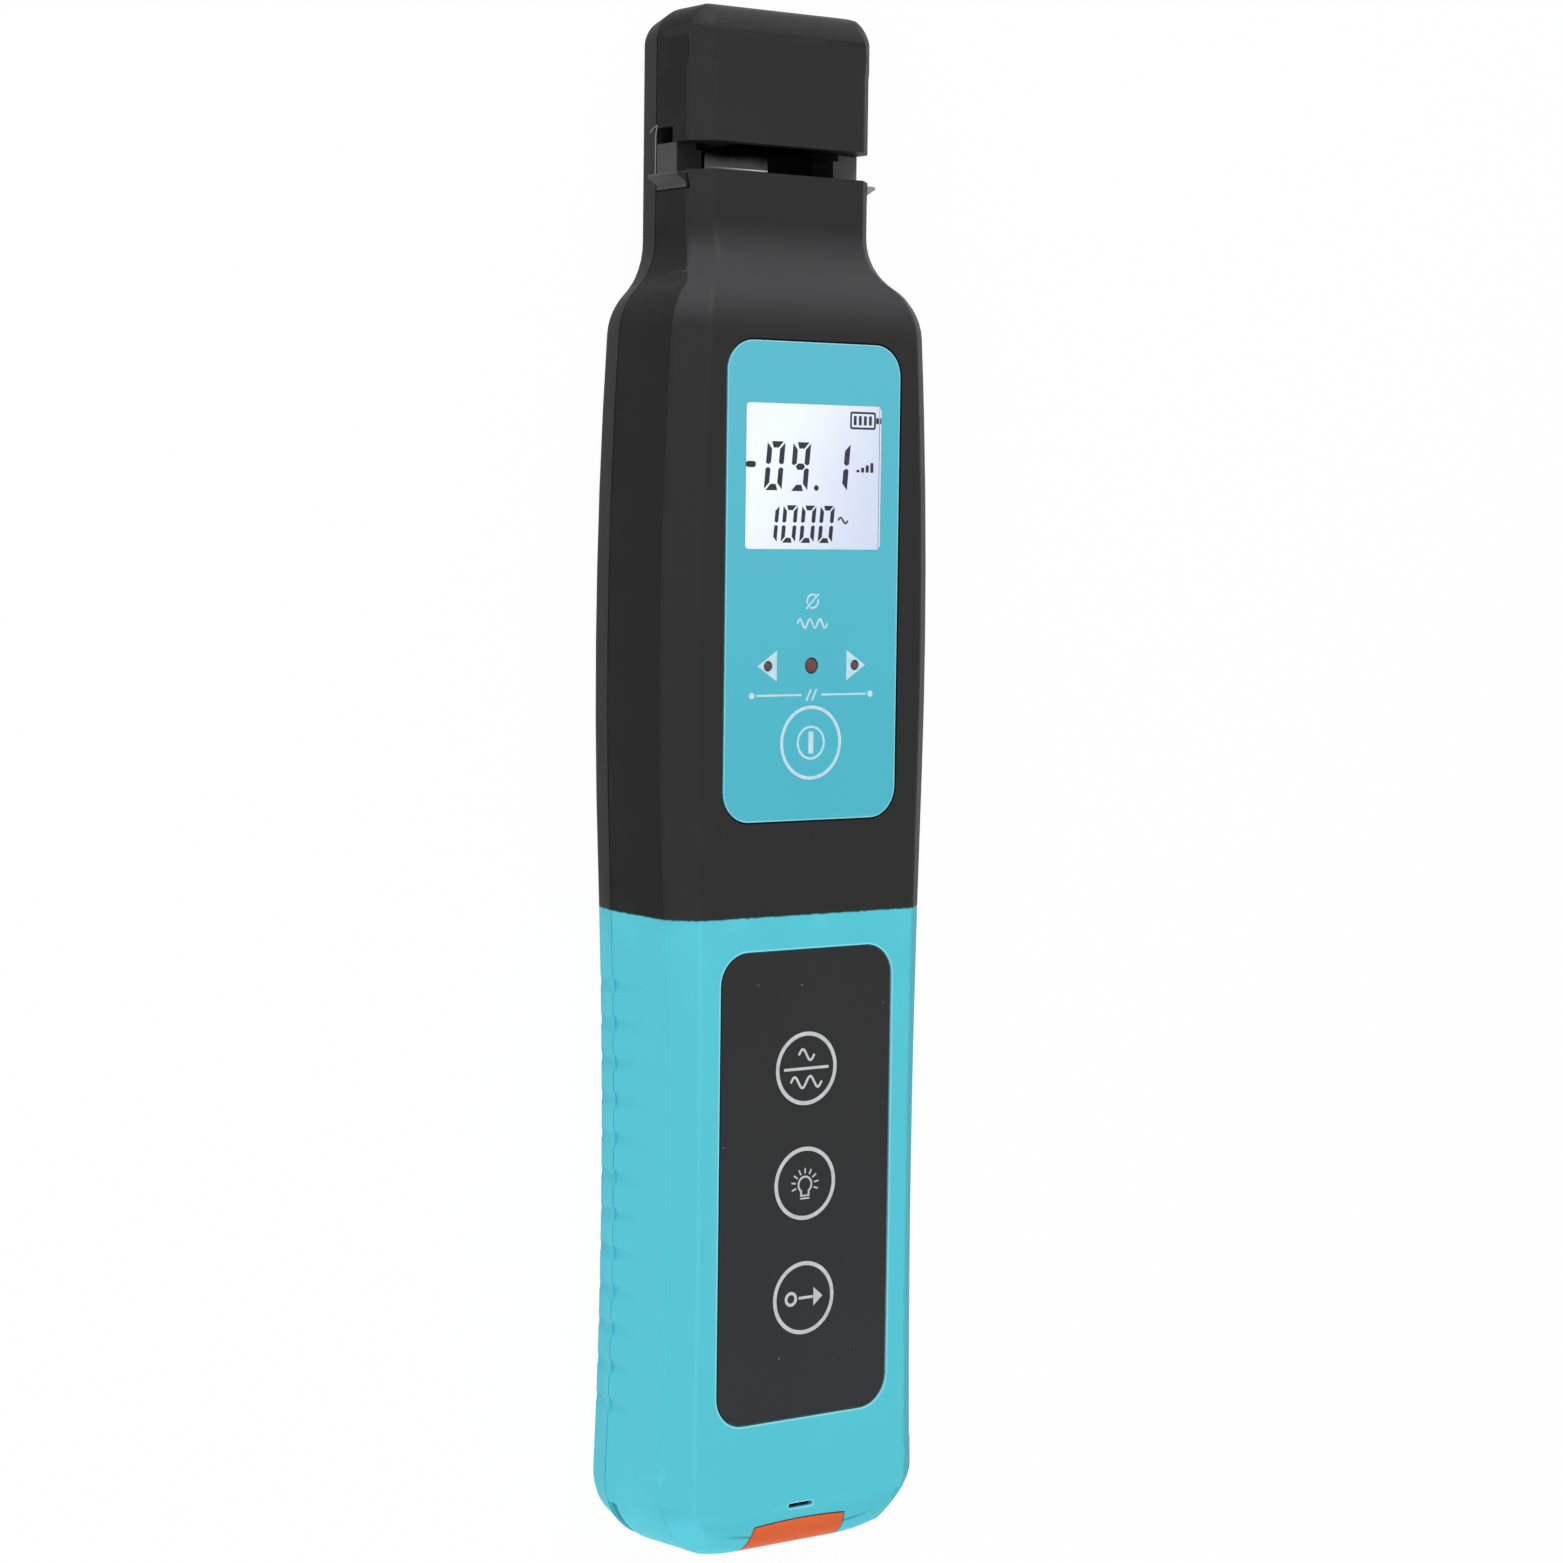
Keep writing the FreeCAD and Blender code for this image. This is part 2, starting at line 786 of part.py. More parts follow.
def clamp_rib():
    """The rib that guides the clamp rod and holds the spring."""
    low = clamp_rib_high - clamp_rib_thickness
    front = neck_inside - run_gap
    rib = centred_block(clamp_rib_half, low, clamp_rib_high, shell_wall - embed, front)
    radius = clamp_rod_radius + run_gap
    return rib.cut(post_along_y(radius, 0, clamp_axis_depth, low - over, clamp_rib_high + over))


def cap_ears():
    """The two ears that carry the port cap's pin."""
    inner = cap_knuckle_half + cap_gap
    front = cap_axis_depth + cap_knuckle_radius
    return both_sides(block(inner, cap_pin_half + ear_wall, 0, port_wall_high, 0, front))


def cap_pin_way():
    """The hole across the tool for the port cap's pin."""
    radius = cap_pin_radius + cap_pin_gap
    return post_along_x(radius, cap_pin_half, cap_axis_height, cap_axis_depth)


def rear_shell():
    """The black rear half: the spine from the grip up to the back of the head."""
    outer = rounded_rear_form()
    bare = rear_form(grip_skin, seam_depth, grip_skin).common(below(grip_height))
    flush = outer.common(above(grip_height))
    cavity = rear_form(shell_wall, seam_depth + over, shell_wall)
    black = bare.fuse(flush).removeSplitter()
    adds = cap_ears()
    adds.append(centred_block(barrel_half, port_end, port_wall_high, 0, seam_depth))
    for x, height in case_screw_spots() + head_screw_spots():
        adds.append(post_along_z(case_screw_head_radius + screw_seat_wall, x, height, 0, seam_depth))
    inside = [add.common(black) for add in adds]
    shell = fuse_all(black.cut(cavity), inside + [bay_frame(), clamp_rib()])
    cuts = [seam_line(), trigger_way(), cover_way(), port_pocket()]
    cuts += screw_ways(case_screw_spots() + head_screw_spots())
    return shell.cut(cuts + [cap_pin_way()])


def rear_grip():
    """The soft blue lower half of the rear."""
    outer = rounded_rear_form()
    skin = outer.cut(rear_form(grip_skin, seam_depth + over, grip_skin)).common(below(grip_height))
    cuts = [seam_line(), cover_way(), port_pocket(), cap_pin_way()]
    return skin.cut(cuts + screw_ways(case_screw_spots()) + rib_grooves(True))


def head_cap():
    """The front half of the head, closed towards the slot but for the anvil and the light paths."""
    outer = front_form(0, seam_depth).common(above(head_low))
    inner = front_form(shell_wall, seam_depth - over).common(above(head_low + head_floor))
    adds = [
        post_along_z(case_boss_radius, x, height, seam_depth, neck_inside + embed)
        for x, height in head_screw_spots()
    ]
    cap = fuse_all(outer.cut(inner), adds)
    low = head_low - over
    high = head_low + head_floor + over
    cuts = pilot_holes(head_screw_spots(), head_screw_length)
    cuts.append(centred_block(anvil_half + fit_gap, low, high, 0, neck_inside))
    for x in (-photodiode_at, photodiode_at):
        cuts.append(post_along_y(photodiode_view_radius, x, clamp_axis_depth, low, high))
    inner_side = neck_half - post_width - fit_gap
    back = seam_depth - over
    notch_front = seam_depth + notch_depth
    notch = block(inner_side, neck_half + over, low, head_low + notch_height, back, notch_front)
    post_front = seam_depth + post_depth + fit_gap
    post_room = block(inner_side, neck_half - shell_wall, low, high, back, post_front)
    return cap.cut(cuts + both_sides(notch) + both_sides(post_room))


def lip_beak(inner, low, back, front):
    """One beaked lip, over which the fibre leaves the slot."""
    tip_low = neck_top - lip_tip_drop
    tip_end = neck_half + lip_reach
    tip_inner = tip_end - lip_tip / 2
    tip = [(tip_inner, tip_low), (tip_end, tip_low + lip_tip / 2), (tip_inner, tip_low + lip_tip)]
    runs = [
        [(inner, low)],
        [(neck_half, low)],
        [(neck_half, tip_low - lip_under)],
        tip,
        [(neck_half, neck_top - lip_shoulder)],
        [(neck_half - lip_slope, neck_top)],
        [(inner, neck_top)],
        [(inner, low)],
    ]
    outline = Part.Wire(chain(runs, lambda x, height: point(x, height, back)))
    return Part.Face(outline).extrude(Vector(0, 0, front - back))


def fibre_guide():
    """The floor of the slot with its rounded lips, and the two posts at the slot's ends."""
    inside = neck_half - shell_wall - fit_gap
    room = front_form(shell_wall + fit_gap, seam_depth)
    floor = room.common(centred_block(inside, guide_low, neck_top - fit_gap, 0, body_depth))
    lip_front = neck_depth - neck_chamfer - fit_gap
    lip_low = neck_top - lip_drop + fit_gap
    lip = lip_beak(inside - over, lip_low, seam_depth, lip_front)
    post_inner = neck_half - post_width
    post_front = seam_depth + post_depth
    post = block(post_inner, neck_half, neck_top - over, head_low, seam_depth, post_front)
    step_end = post_inner + post_step[0]
    step_low = head_low - post_step[1]
    step = block(post_inner - over, step_end, step_low, head_low + over, 0, body_depth)
    stub_high = head_low + head_floor
    stub = block(step_end, inside, head_low - over, stub_high, seam_depth, post_front)
    side = fuse_all(lip, [post.cut(step), stub])
    guide = fuse_all(floor, both_sides(side))
    half = piston_half + run_gap
    return guide.cut(centred_block(half, guide_low - over, neck_top + over, 0, piston_front + run_gap))


def bend_anvil():
    """The metal anvil: an arched block in the head on a plate against the spine."""
    high = head_low + anvil_height
    block_front = neck_inside - fit_gap
    body = centred_block(anvil_half, head_low, high, plate_front - embed, block_front)
    arch_centre = head_low + anvil_arch - anvil_radius
    arch = post_along_z(anvil_radius, 0, arch_centre, 0, neck_depth)
    plate_low = neck_top - anvil_plate_drop
    back = centred_block(anvil_plate_half, plate_low, high + anvil_plate_rise, shell_wall, plate_front)
    holes = [
        post_along_z(board_screw_radius + thread_gap, x, height, 0, plate_front + over)
        for x, height in anvil_screw_spots()
    ]
    return fuse_all(body.cut(arch), [back]).cut(holes)


def anvil_screw_spots():
    """Where the two screws hold the anvil's plate on the spine."""
    height = head_low + anvil_height + anvil_plate_rise / 2
    return [(side * anvil_screw_at, height) for side in (-1, 1)]


def screw(head_radius, head, radius, length, x, height, seat, direction):
    """A pan-head screw whose head ends at a seat, with a cross recess."""
    under = seat + direction * head
    low = min(seat, under)
    top = post_along_z(head_radius, x, height, low, low + head)
    end = under + direction * length
    shank = post_along_z(radius, x, height, min(under, end), max(under, end))
    arm = head_radius * cross_reach
    ends = (seat - direction * over, seat + direction * head * cross_depth)
    back = min(ends)
    front = max(ends)
    bar = block(x - arm, x + arm, height - cross_half, height + cross_half, back, front)
    cross = block(x - cross_half, x + cross_half, height - arm, height + arm, back, front)
    return top.fuse(shank).removeSplitter().cut([bar, cross])


def case_screws():
    """The screws that hold the two halves and the head together."""
    head = (case_screw_head_radius, case_screw_head, case_screw_radius)
    long_ones = [
        screw(*head, case_screw_length, x, height, case_screw_recess, 1)
        for x, height in case_screw_spots()
    ]
    short_ones = [
        screw(*head, head_screw_length, x, height, case_screw_recess, 1)
        for x, height in head_screw_spots()
    ]
    return Part.makeCompound(long_ones + short_ones)


def board_screws():
    """The screws that hold the main board."""
    seat = board_under - board_screw_head
    head = (board_screw_head_radius, board_screw_head, board_screw_radius)
    return Part.makeCompound([
        screw(*head, board_screw_length, x, height, seat, 1) for x, height in board_screw_spots()
    ])


def anvil_screws():
    """The short screws of the anvil's plate."""
    seat = plate_front + board_screw_head
    head = (board_screw_head_radius, board_screw_head, board_screw_radius)
    return Part.makeCompound([
        screw(*head, anvil_plate_thickness, x, height, seat, -1) for x, height in anvil_screw_spots()
    ])


def clamp_piston():
    """The block that bends the fibre up against the anvil, with its rod."""
    low = piston_top - piston_height
    body = centred_block(piston_half, low, piston_top, piston_back, piston_front)
    crown = post_along_z(anvil_radius, 0, piston_top - anvil_radius, 0, neck_depth)
    rod = post_along_y(clamp_rod_radius, 0, clamp_axis_depth, lug_high, low + over)
    return fuse_all(body.common(crown), [rod])


def clamp_trigger():
    """The thumb slide in the back, its flange inside and the lug that pushes the rod."""
    high = trigger_low + trigger_height
    pad = centred_block(trigger_half, trigger_low, high, trigger_recess, flange_back + embed)
    flange_half = trigger_half + trigger_flange
    flange_front = flange_back + trigger_flange_thickness
    low = trigger_low - trigger_flange
    flange = centred_block(flange_half, low, lug_high, flange_back, flange_front)
    lug_front = clamp_axis_depth + clamp_rod_radius + trigger_lug_wall
    lug_low = lug_high - trigger_lug_height
    lug = centred_block(trigger_lug_half, lug_low, lug_high, flange_back, lug_front)
    grooves = []
    spacing = trigger_height / (trigger_groove_count + over)
    groove_half = trigger_half - trigger_groove_margin
    groove_depth = trigger_recess + trigger_groove_depth - trigger_groove_radius
    for index in range(trigger_groove_count):
        height = trigger_low + spacing * (index + 1)
        grooves.append(post_along_x(trigger_groove_radius, groove_half, height, groove_depth))
    return fuse_all(pad, [flange, lug]).cut(grooves)


def coil(radius, wire_radius, turns, low, high, x, depth):
    """A coil spring along the tool between two heights, as a tube of flat facets."""
    rise = high - low - 2 * wire_radius
    steps = turns * coil_steps
    rings = []
    for step in range(steps + 1):
        turn = 2 * math.pi * step / coil_steps
        height = low + wire_radius + rise * step / steps
        ring = []
        for side in range(coil_sides):
            around = 2 * math.pi * side / coil_sides
            out = radius + wire_radius * math.cos(around)
            lift = wire_radius * math.sin(around)
            across = x + out * math.cos(turn)
            ring.append(point(across, height + lift, depth + out * math.sin(turn)))
        rings.append(ring)
    faces = [Part.Face(Part.makePolygon(ring + ring[:1])) for ring in (rings[0], rings[-1])]
    for near, far in zip(rings, rings[1:]):
        for side in range(coil_sides):
            after = (side + 1) % coil_sides
            lower = [near[side], near[after], far[after], near[side]]
            upper = [near[side], far[after], far[side], near[side]]
            faces += [Part.Face(Part.makePolygon(corners)) for corners in (lower, upper)]
    shell = Part.makeShell(faces)
    shell.sewShape()
    spring = Part.makeSolid(shell)
    if spring.Volume < 0:
        spring.reverse()
    return spring


def clamp_spring():
    """The spring that opens the clamp again."""
    high = lug_high + clamp_spring_length
    size = (clamp_spring_radius, clamp_spring_wire, clamp_spring_turns)
    return coil(*size, lug_high, high, 0, clamp_axis_depth)


def photodiode(x):
    """A detector can that looks down through the head's floor."""
    low = head_low + head_floor
    high = low + photodiode_height
    flange_radius = photodiode_radius + photodiode_flange
    flange_low = high - photodiode_flange_height
    flange = post_along_y(flange_radius, x, clamp_axis_depth, flange_low, high)
    return fuse_all(post_along_y(photodiode_radius, x, clamp_axis_depth, low, high), [flange])


def sensor_board():
    """The small board behind the two detectors."""
    low = head_low + head_floor + photodiode_height
    room = front_form(shell_wall + fit_gap, seam_depth)
    return room.common(centred_block(neck_half, low, low + sensor_board_thickness, 0, body_depth))


def upper_label():
    """The film on the upper half, open for the window, the power key and the LEDs."""
    film = plate(upper_label_size, upper_label_low, label_corner, label_floor, body_depth)
    key = post_along_z(key_radius + key_gap, 0, key_heights["power"], 0, body_depth + over)
    return film.cut([window_way(), key] + led_ways())


def lower_label():
    """The film on the lower half, open for three keys."""
    film = plate(lower_label_size, lower_label_low, label_corner, label_floor, body_depth)
    keys = [
        post_along_z(key_radius + key_gap, 0, height, 0, body_depth + over)
        for name, height in key_heights.items() if name != "power"
    ]
    return film.cut(keys)


def window_plate(back, front):
    """A plate that fills the window's opening."""
    size = (window_size[0] - 2 * key_gap, window_size[1] - 2 * key_gap)
    return plate(size, window_low + key_gap, window_corner, back, front)


def display_window():
    """The clear window flush with the upper label."""
    return window_plate(display_front, body_depth)


def display_glass():
    """The liquid crystal glass, which stands in the window's opening."""
    return window_plate(display_front - display_glass_thickness, display_front)


def display_backlight():
    """The lit block between the glass and the board."""
    size = (window_size[0] + 2 * display_margin, window_size[1] + 2 * display_margin)
    low = window_low - display_margin
    return plate(size, low, window_corner, board_top, board_top + backlight_thickness)


def key(height):
    """One key: a film disc on a stem."""
    disc = post_along_z(key_radius, 0, height, label_floor, body_depth)
    stem = post_along_z(key_stem_radius, 0, height, key_stem_end, label_floor + key_gap)
    return fuse_all(disc, [stem])


def key_switch(height):
    """The switch body under a key."""
    low = height - switch_half
    body = centred_block(switch_half, low, height + switch_half, board_top, switch_top)
    floor = switch_top - plunger_sink - key_travel - key_gap
    return body.cut(post_along_z(plunger_radius + fit_gap, 0, height, floor, switch_top + over))


def switch_plunger(height):
    """The plunger between a switch and its key."""
    return post_along_z(plunger_radius, 0, height, switch_top - plunger_sink, key_stem_end)


def led(x, tip_radius):
    """An LED whose tip shows in the label."""
    body = post_along_z(led_body_radius, x, led_height, board_top, front_inside - fit_gap)
    tip = post_along_z(tip_radius, x, led_height, front_inside - embed, body_depth - led_recess)
    return fuse_all(body, [tip])


def main_board():
    """The main board, cut round the bosses and drilled for its screws."""
    size = (2 * board_half, board_high - board_low)
    board = plate(size, board_low, board_corner, board_under, board_top)
    cuts = [
        post_along_z(case_boss_radius + run_gap, x, height, board_under - over, board_top + over)
        for x, height in case_screw_spots()
    ]
    cuts += [
        post_along_z(board_screw_radius + fit_gap, x, height, board_under - over, board_top + over)
        for x, height in board_screw_spots()
    ]
    return board.cut(cuts)


def sounder():
    """The round sounder behind the slot in the front."""
    top = board_top + sounder_height
    body = post_along_z(sounder_radius, 0, sounder_at, board_top, top)
    return body.cut(post_along_z(sounder_hole_radius, 0, sounder_at, top - over, top + over))


def ferrule_sleeve():
    """The sleeve that takes a fibre connector's ferrule."""
    body = post_along_y(sleeve_radius, 0, laser_depth, port_end, sleeve_high)
    flange = post_along_y(laser_radius, 0, laser_depth, port_wall_high, sleeve_high)
    bore = post_along_y(ferrule_bore_radius, 0, laser_depth, port_end - over, sleeve_high + over)
    return fuse_all(body, [flange]).cut(bore)


def laser_housing():
    """The turned housing of the red laser, behind the sleeve."""
    high = sleeve_high + laser_length
    body = post_along_y(laser_radius, 0, laser_depth, sleeve_high, high)
    core = post_along_y(laser_radius - laser_groove_depth, 0, laser_depth, sleeve_high, high)
    grooves = []
    for share in laser_groove_shares:
        low = sleeve_high + share * laser_length
        ring = post_along_y(laser_radius + over, 0, laser_depth, low, low + laser_groove_width)
        grooves.append(ring.cut(core))
    return body.cut(grooves)


def port_cap():
    """The orange cap over the laser port, which swings down and back on its pin."""
    whole = front_form(0, seam_depth).fuse(rear_form(0, seam_depth, 0)).removeSplitter()
    lid = whole.common(cap_wedge(0, cap_axis_depth, body_depth + clear))
    knuckle = post_along_x(cap_knuckle_radius, cap_knuckle_half, cap_axis_height, cap_axis_depth)
    recess = post_along_y(sleeve_radius, 0, laser_depth, cap_height - cap_recess_depth, port_end)
    return fuse_all(lid, [knuckle]).cut([recess, cap_pin_way()])


def port_cap_pin():
    """The pin that the port cap swings on."""
    return post_along_x(cap_pin_radius, cap_pin_half, cap_axis_height, cap_axis_depth)


def cell(x):
    """A round battery cell with its nub towards the head."""
    low = cell_low
    can = post_along_y(cell_radius, x, cell_depth, low, low + cell_length - cell_nub)
    nub = post_along_y(cell_nub_radius, x, cell_depth, low + over, low + cell_length)
    return fuse_all(can, [nub])


def contact_plates():
    """The contact plates at both ends of the cells."""
    half = contact_plate_half
    depth = cell_depth
    low = bay_low + bay_wall
    high = bay_high - bay_wall
    plates = []
    for x in (-cell_spacing, cell_spacing):
        plates.append(block(x - half, x + half, low, low + contact_plate, depth - half, depth + half))
    joined_half = cell_spacing + half
    low = high - contact_plate
    plates.append(centred_block(joined_half, low, high, depth - half, depth + half))
    return Part.makeCompound(plates)


def contact_springs():
    """The coil springs that press on the cells' flat ends."""
    low = bay_low + bay_wall + contact_plate
    size = (contact_spring_radius, contact_spring_wire, contact_spring_turns)
    return Part.makeCompound([
        coil(*size, low, cell_low, x, cell_depth) for x in (-cell_spacing, cell_spacing)
    ])


def battery_cover():
    """The cover of the battery bay, with two tabs at its lower end and a thumb dip at the other."""
    half = bay_half - cover_gap
    low = bay_low + bay_wall + cover_gap
    high = bay_high - bay_wall - cover_gap
    panel = centred_block(half, low, high, cover_recess, shell_wall)
    back = shell_wall + run_gap
    front = back + cover_tab_thickness
    tab_low = low - cover_gap - cover_tab_reach
    tabs = []
    for x in cover_tab_places:
        left = x - cover_tab_half
        right = x + cover_tab_half
        tabs.append(block(left, right, low, low + cover_tab_foot, shell_wall - embed, front))
        tabs.append(block(left, right, tab_low, low + embed, back, front))
    dip_centre = point(0, high - dip_from_end, cover_recess + dip_depth - dip_radius)
    return fuse_all(panel, tabs).cut(Part.makeSphere(dip_radius, dip_centre))


def all_nodes():
    """Every node's name with its shape."""
    nodes = {
        "front_shell": front_shell(),
        "front_grip": front_grip(),
        "rear_shell": rear_shell(),
        "rear_grip": rear_grip(),
        "head_cap": head_cap(),
        "fibre_guide": fibre_guide(),
        "bend_anvil": bend_anvil(),
        "upper_label": upper_label(),
        "lower_label": lower_label(),
        "display_window": display_window(),
        "display_glass": display_glass(),
        "display_backlight": display_backlight(),
        "main_board": main_board(),
        "sounder": sounder(),
        "clamp_piston": clamp_piston(),
        "clamp_trigger": clamp_trigger(),
        "clamp_spring": clamp_spring(),
        "left_photodiode": photodiode(-photodiode_at),
        "right_photodiode": photodiode(photodiode_at),
        "sensor_board": sensor_board(),
        "laser_housing": laser_housing(),
        "ferrule_sleeve": ferrule_sleeve(),
        "port_cap": port_cap(),
        "port_cap_pin": port_cap_pin(),
        "battery_cover": battery_cover(),
        "left_cell": cell(-cell_spacing),
        "right_cell": cell(cell_spacing),
        "contact_plates": contact_plates(),
        "contact_springs": contact_springs(),
        "case_screws": case_screws(),
        "board_screws": board_screws(),
        "anvil_screws": anvil_screws(),
    }
    for name, height in key_heights.items():
        nodes[name + "_key"] = key(height)
        nodes[name + "_switch"] = key_switch(height)
        nodes[name + "_plunger"] = switch_plunger(height)
    for name, x, radius in led_places():
        nodes[name] = led(x, radius)
    return nodes


os.makedirs("parts", exist_ok=True)
for node, shape in all_nodes().items():
    state = "valid" if shape.isValid() else "INVALID"
    print(node, len(shape.Solids), "solids", round(shape.Volume, 1), "mm3", state)
    shape.exportStep("parts/" + node + ".step")
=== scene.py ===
"""Looks of the optical fibre identifier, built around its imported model."""

import logging
import math
from dataclasses import dataclass, replace
from enum import Enum
from typing import Any, Callable, Optional, Sequence

import bmesh
import bpy
from mathutils import Matrix, Vector


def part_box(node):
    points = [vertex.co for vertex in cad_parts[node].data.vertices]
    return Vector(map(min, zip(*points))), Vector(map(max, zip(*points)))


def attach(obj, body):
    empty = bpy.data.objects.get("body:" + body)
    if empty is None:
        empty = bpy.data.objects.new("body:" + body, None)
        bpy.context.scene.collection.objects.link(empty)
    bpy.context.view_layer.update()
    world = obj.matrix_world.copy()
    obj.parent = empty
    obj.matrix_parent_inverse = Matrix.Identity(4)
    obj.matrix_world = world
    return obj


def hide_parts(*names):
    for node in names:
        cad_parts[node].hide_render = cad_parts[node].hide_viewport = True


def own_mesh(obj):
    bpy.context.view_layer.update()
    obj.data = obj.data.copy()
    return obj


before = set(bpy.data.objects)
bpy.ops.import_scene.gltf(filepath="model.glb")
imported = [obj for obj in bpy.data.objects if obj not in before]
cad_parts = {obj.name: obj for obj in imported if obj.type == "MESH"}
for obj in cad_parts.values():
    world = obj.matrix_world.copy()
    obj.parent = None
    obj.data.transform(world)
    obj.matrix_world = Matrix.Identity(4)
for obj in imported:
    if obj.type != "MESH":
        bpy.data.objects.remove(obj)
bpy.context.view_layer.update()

log = logging.getLogger("fibre_identifier")

MM = 0.001
HALF_LENGTH = 98.0
# A face looks straight out of the front where its normal's Z is larger than this.
FACING_FRONT = 0.999
# Heights nearer than this many millimetres count as one.
NEAR = 0.01
# Points of a CAD mesh nearer than this many metres are one point.
MERGE_GAP = 2e-6
# Points this near to a cutting plane, in metres, lie on it.
PLANE_GAP = 1e-7
Point = tuple[float, float]
Outline = list[Point]
Colour = tuple[float, float, float]


class Body(Enum):
    """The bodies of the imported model."""

    HOUSING = "housing"
    CLAMP = "clamp"
    PORT_CAP = "port_cap"
    COVER = "battery_cover"
    POWER = "power_key"
    UNIT = "unit_key"
    LIGHT = "light_key"
    LASER = "laser_key"


class Slot(Enum):
    """The record's material slots, named beside the pieces here but not set on them."""

    BLACK_PLASTIC = "black_plastic"
    BLUE_GRIP = "blue_grip"
    TEAL_FILM = "teal_film"
    BLACK_FILM = "black_film"
    CLEAR_WINDOW = "clear_window"
    DISPLAY_GLASS = "display_glass"
    BLACK_SWITCH = "black_switch"
    BRIGHT_STEEL = "bright_steel"
    ZINC_SCREW = "zinc_screw"
    BRASS = "brass"
    CERAMIC = "ceramic"
    ORANGE_CAP = "orange_cap"
    CELL_JACKET = "cell_jacket"
    RED_LENS = "red_lens"


def place(x: float, height: float, depth: float) -> Vector:
    """Turn millimetres on the tool into the frame's metres.

    Args:
        x: Distance to the right of the middle.
        height: Height along the tool from its lower end.
        depth: Distance above the back.

    Returns:
        The point in the frame.
    """
    return Vector((x, height - HALF_LENGTH, depth)) * MM


def height_of(point: Vector) -> float:
    """Give a point's height along the tool from its lower end, in millimetres."""
    return point.y / MM + HALF_LENGTH


def linear(red: int, green: int, blue: int) -> Colour:
    """Turn a screen colour of 0 to 255 into the linear values that shaders take.

    Args:
        red: Red on the screen.
        green: Green on the screen.
        blue: Blue on the screen.

    Returns:
        Three linear values.
    """
    shares = [value / 255 for value in (red, green, blue)]
    low, high = 0.04045, 2.4
    return tuple(s / 12.92 if s <= low else ((s + 0.055) / 1.055) ** high for s in shares)


def operator(operation: str, turned: bool = False) -> Callable[["Value", Any], "Value"]:
    """Make an operator's method.

    Args:
        operation: The operation of the Math node that the method adds.
        turned: Whether the method's own value stands on the right.

    Returns:
        The method.
    """
    def method(self: "Value", other: Any) -> "Value":
        """Add the Math node."""
        left, right = (other, self) if turned else (self, other)
        return self.sheet.node("ShaderNodeMath", {"operation": operation}, {0: left, 1: right})

    return method


class Value:
    """A shader socket that takes part in Python sums, where > gives 1 or 0."""

    def __init__(self, sheet: "Sheet", socket: bpy.types.NodeSocket) -> None:
        """Keep the socket and the sheet that it belongs to."""
        self.sheet = sheet
        self.socket = socket

    __add__, __radd__ = operator("ADD"), operator("ADD", turned=True)
    __sub__, __rsub__ = operator("SUBTRACT"), operator("SUBTRACT", turned=True)
    __mul__, __rmul__ = operator("MULTIPLY"), operator("MULTIPLY", turned=True)
    __truediv__, __rtruediv__ = operator("DIVIDE"), operator("DIVIDE", turned=True)
    __gt__, __lt__ = operator("GREATER_THAN"), operator("LESS_THAN")

    def __abs__(self) -> "Value":
        """Give self without its sign."""
        return self.sheet.node("ShaderNodeMath", {"operation": "ABSOLUTE"}, {0: self})


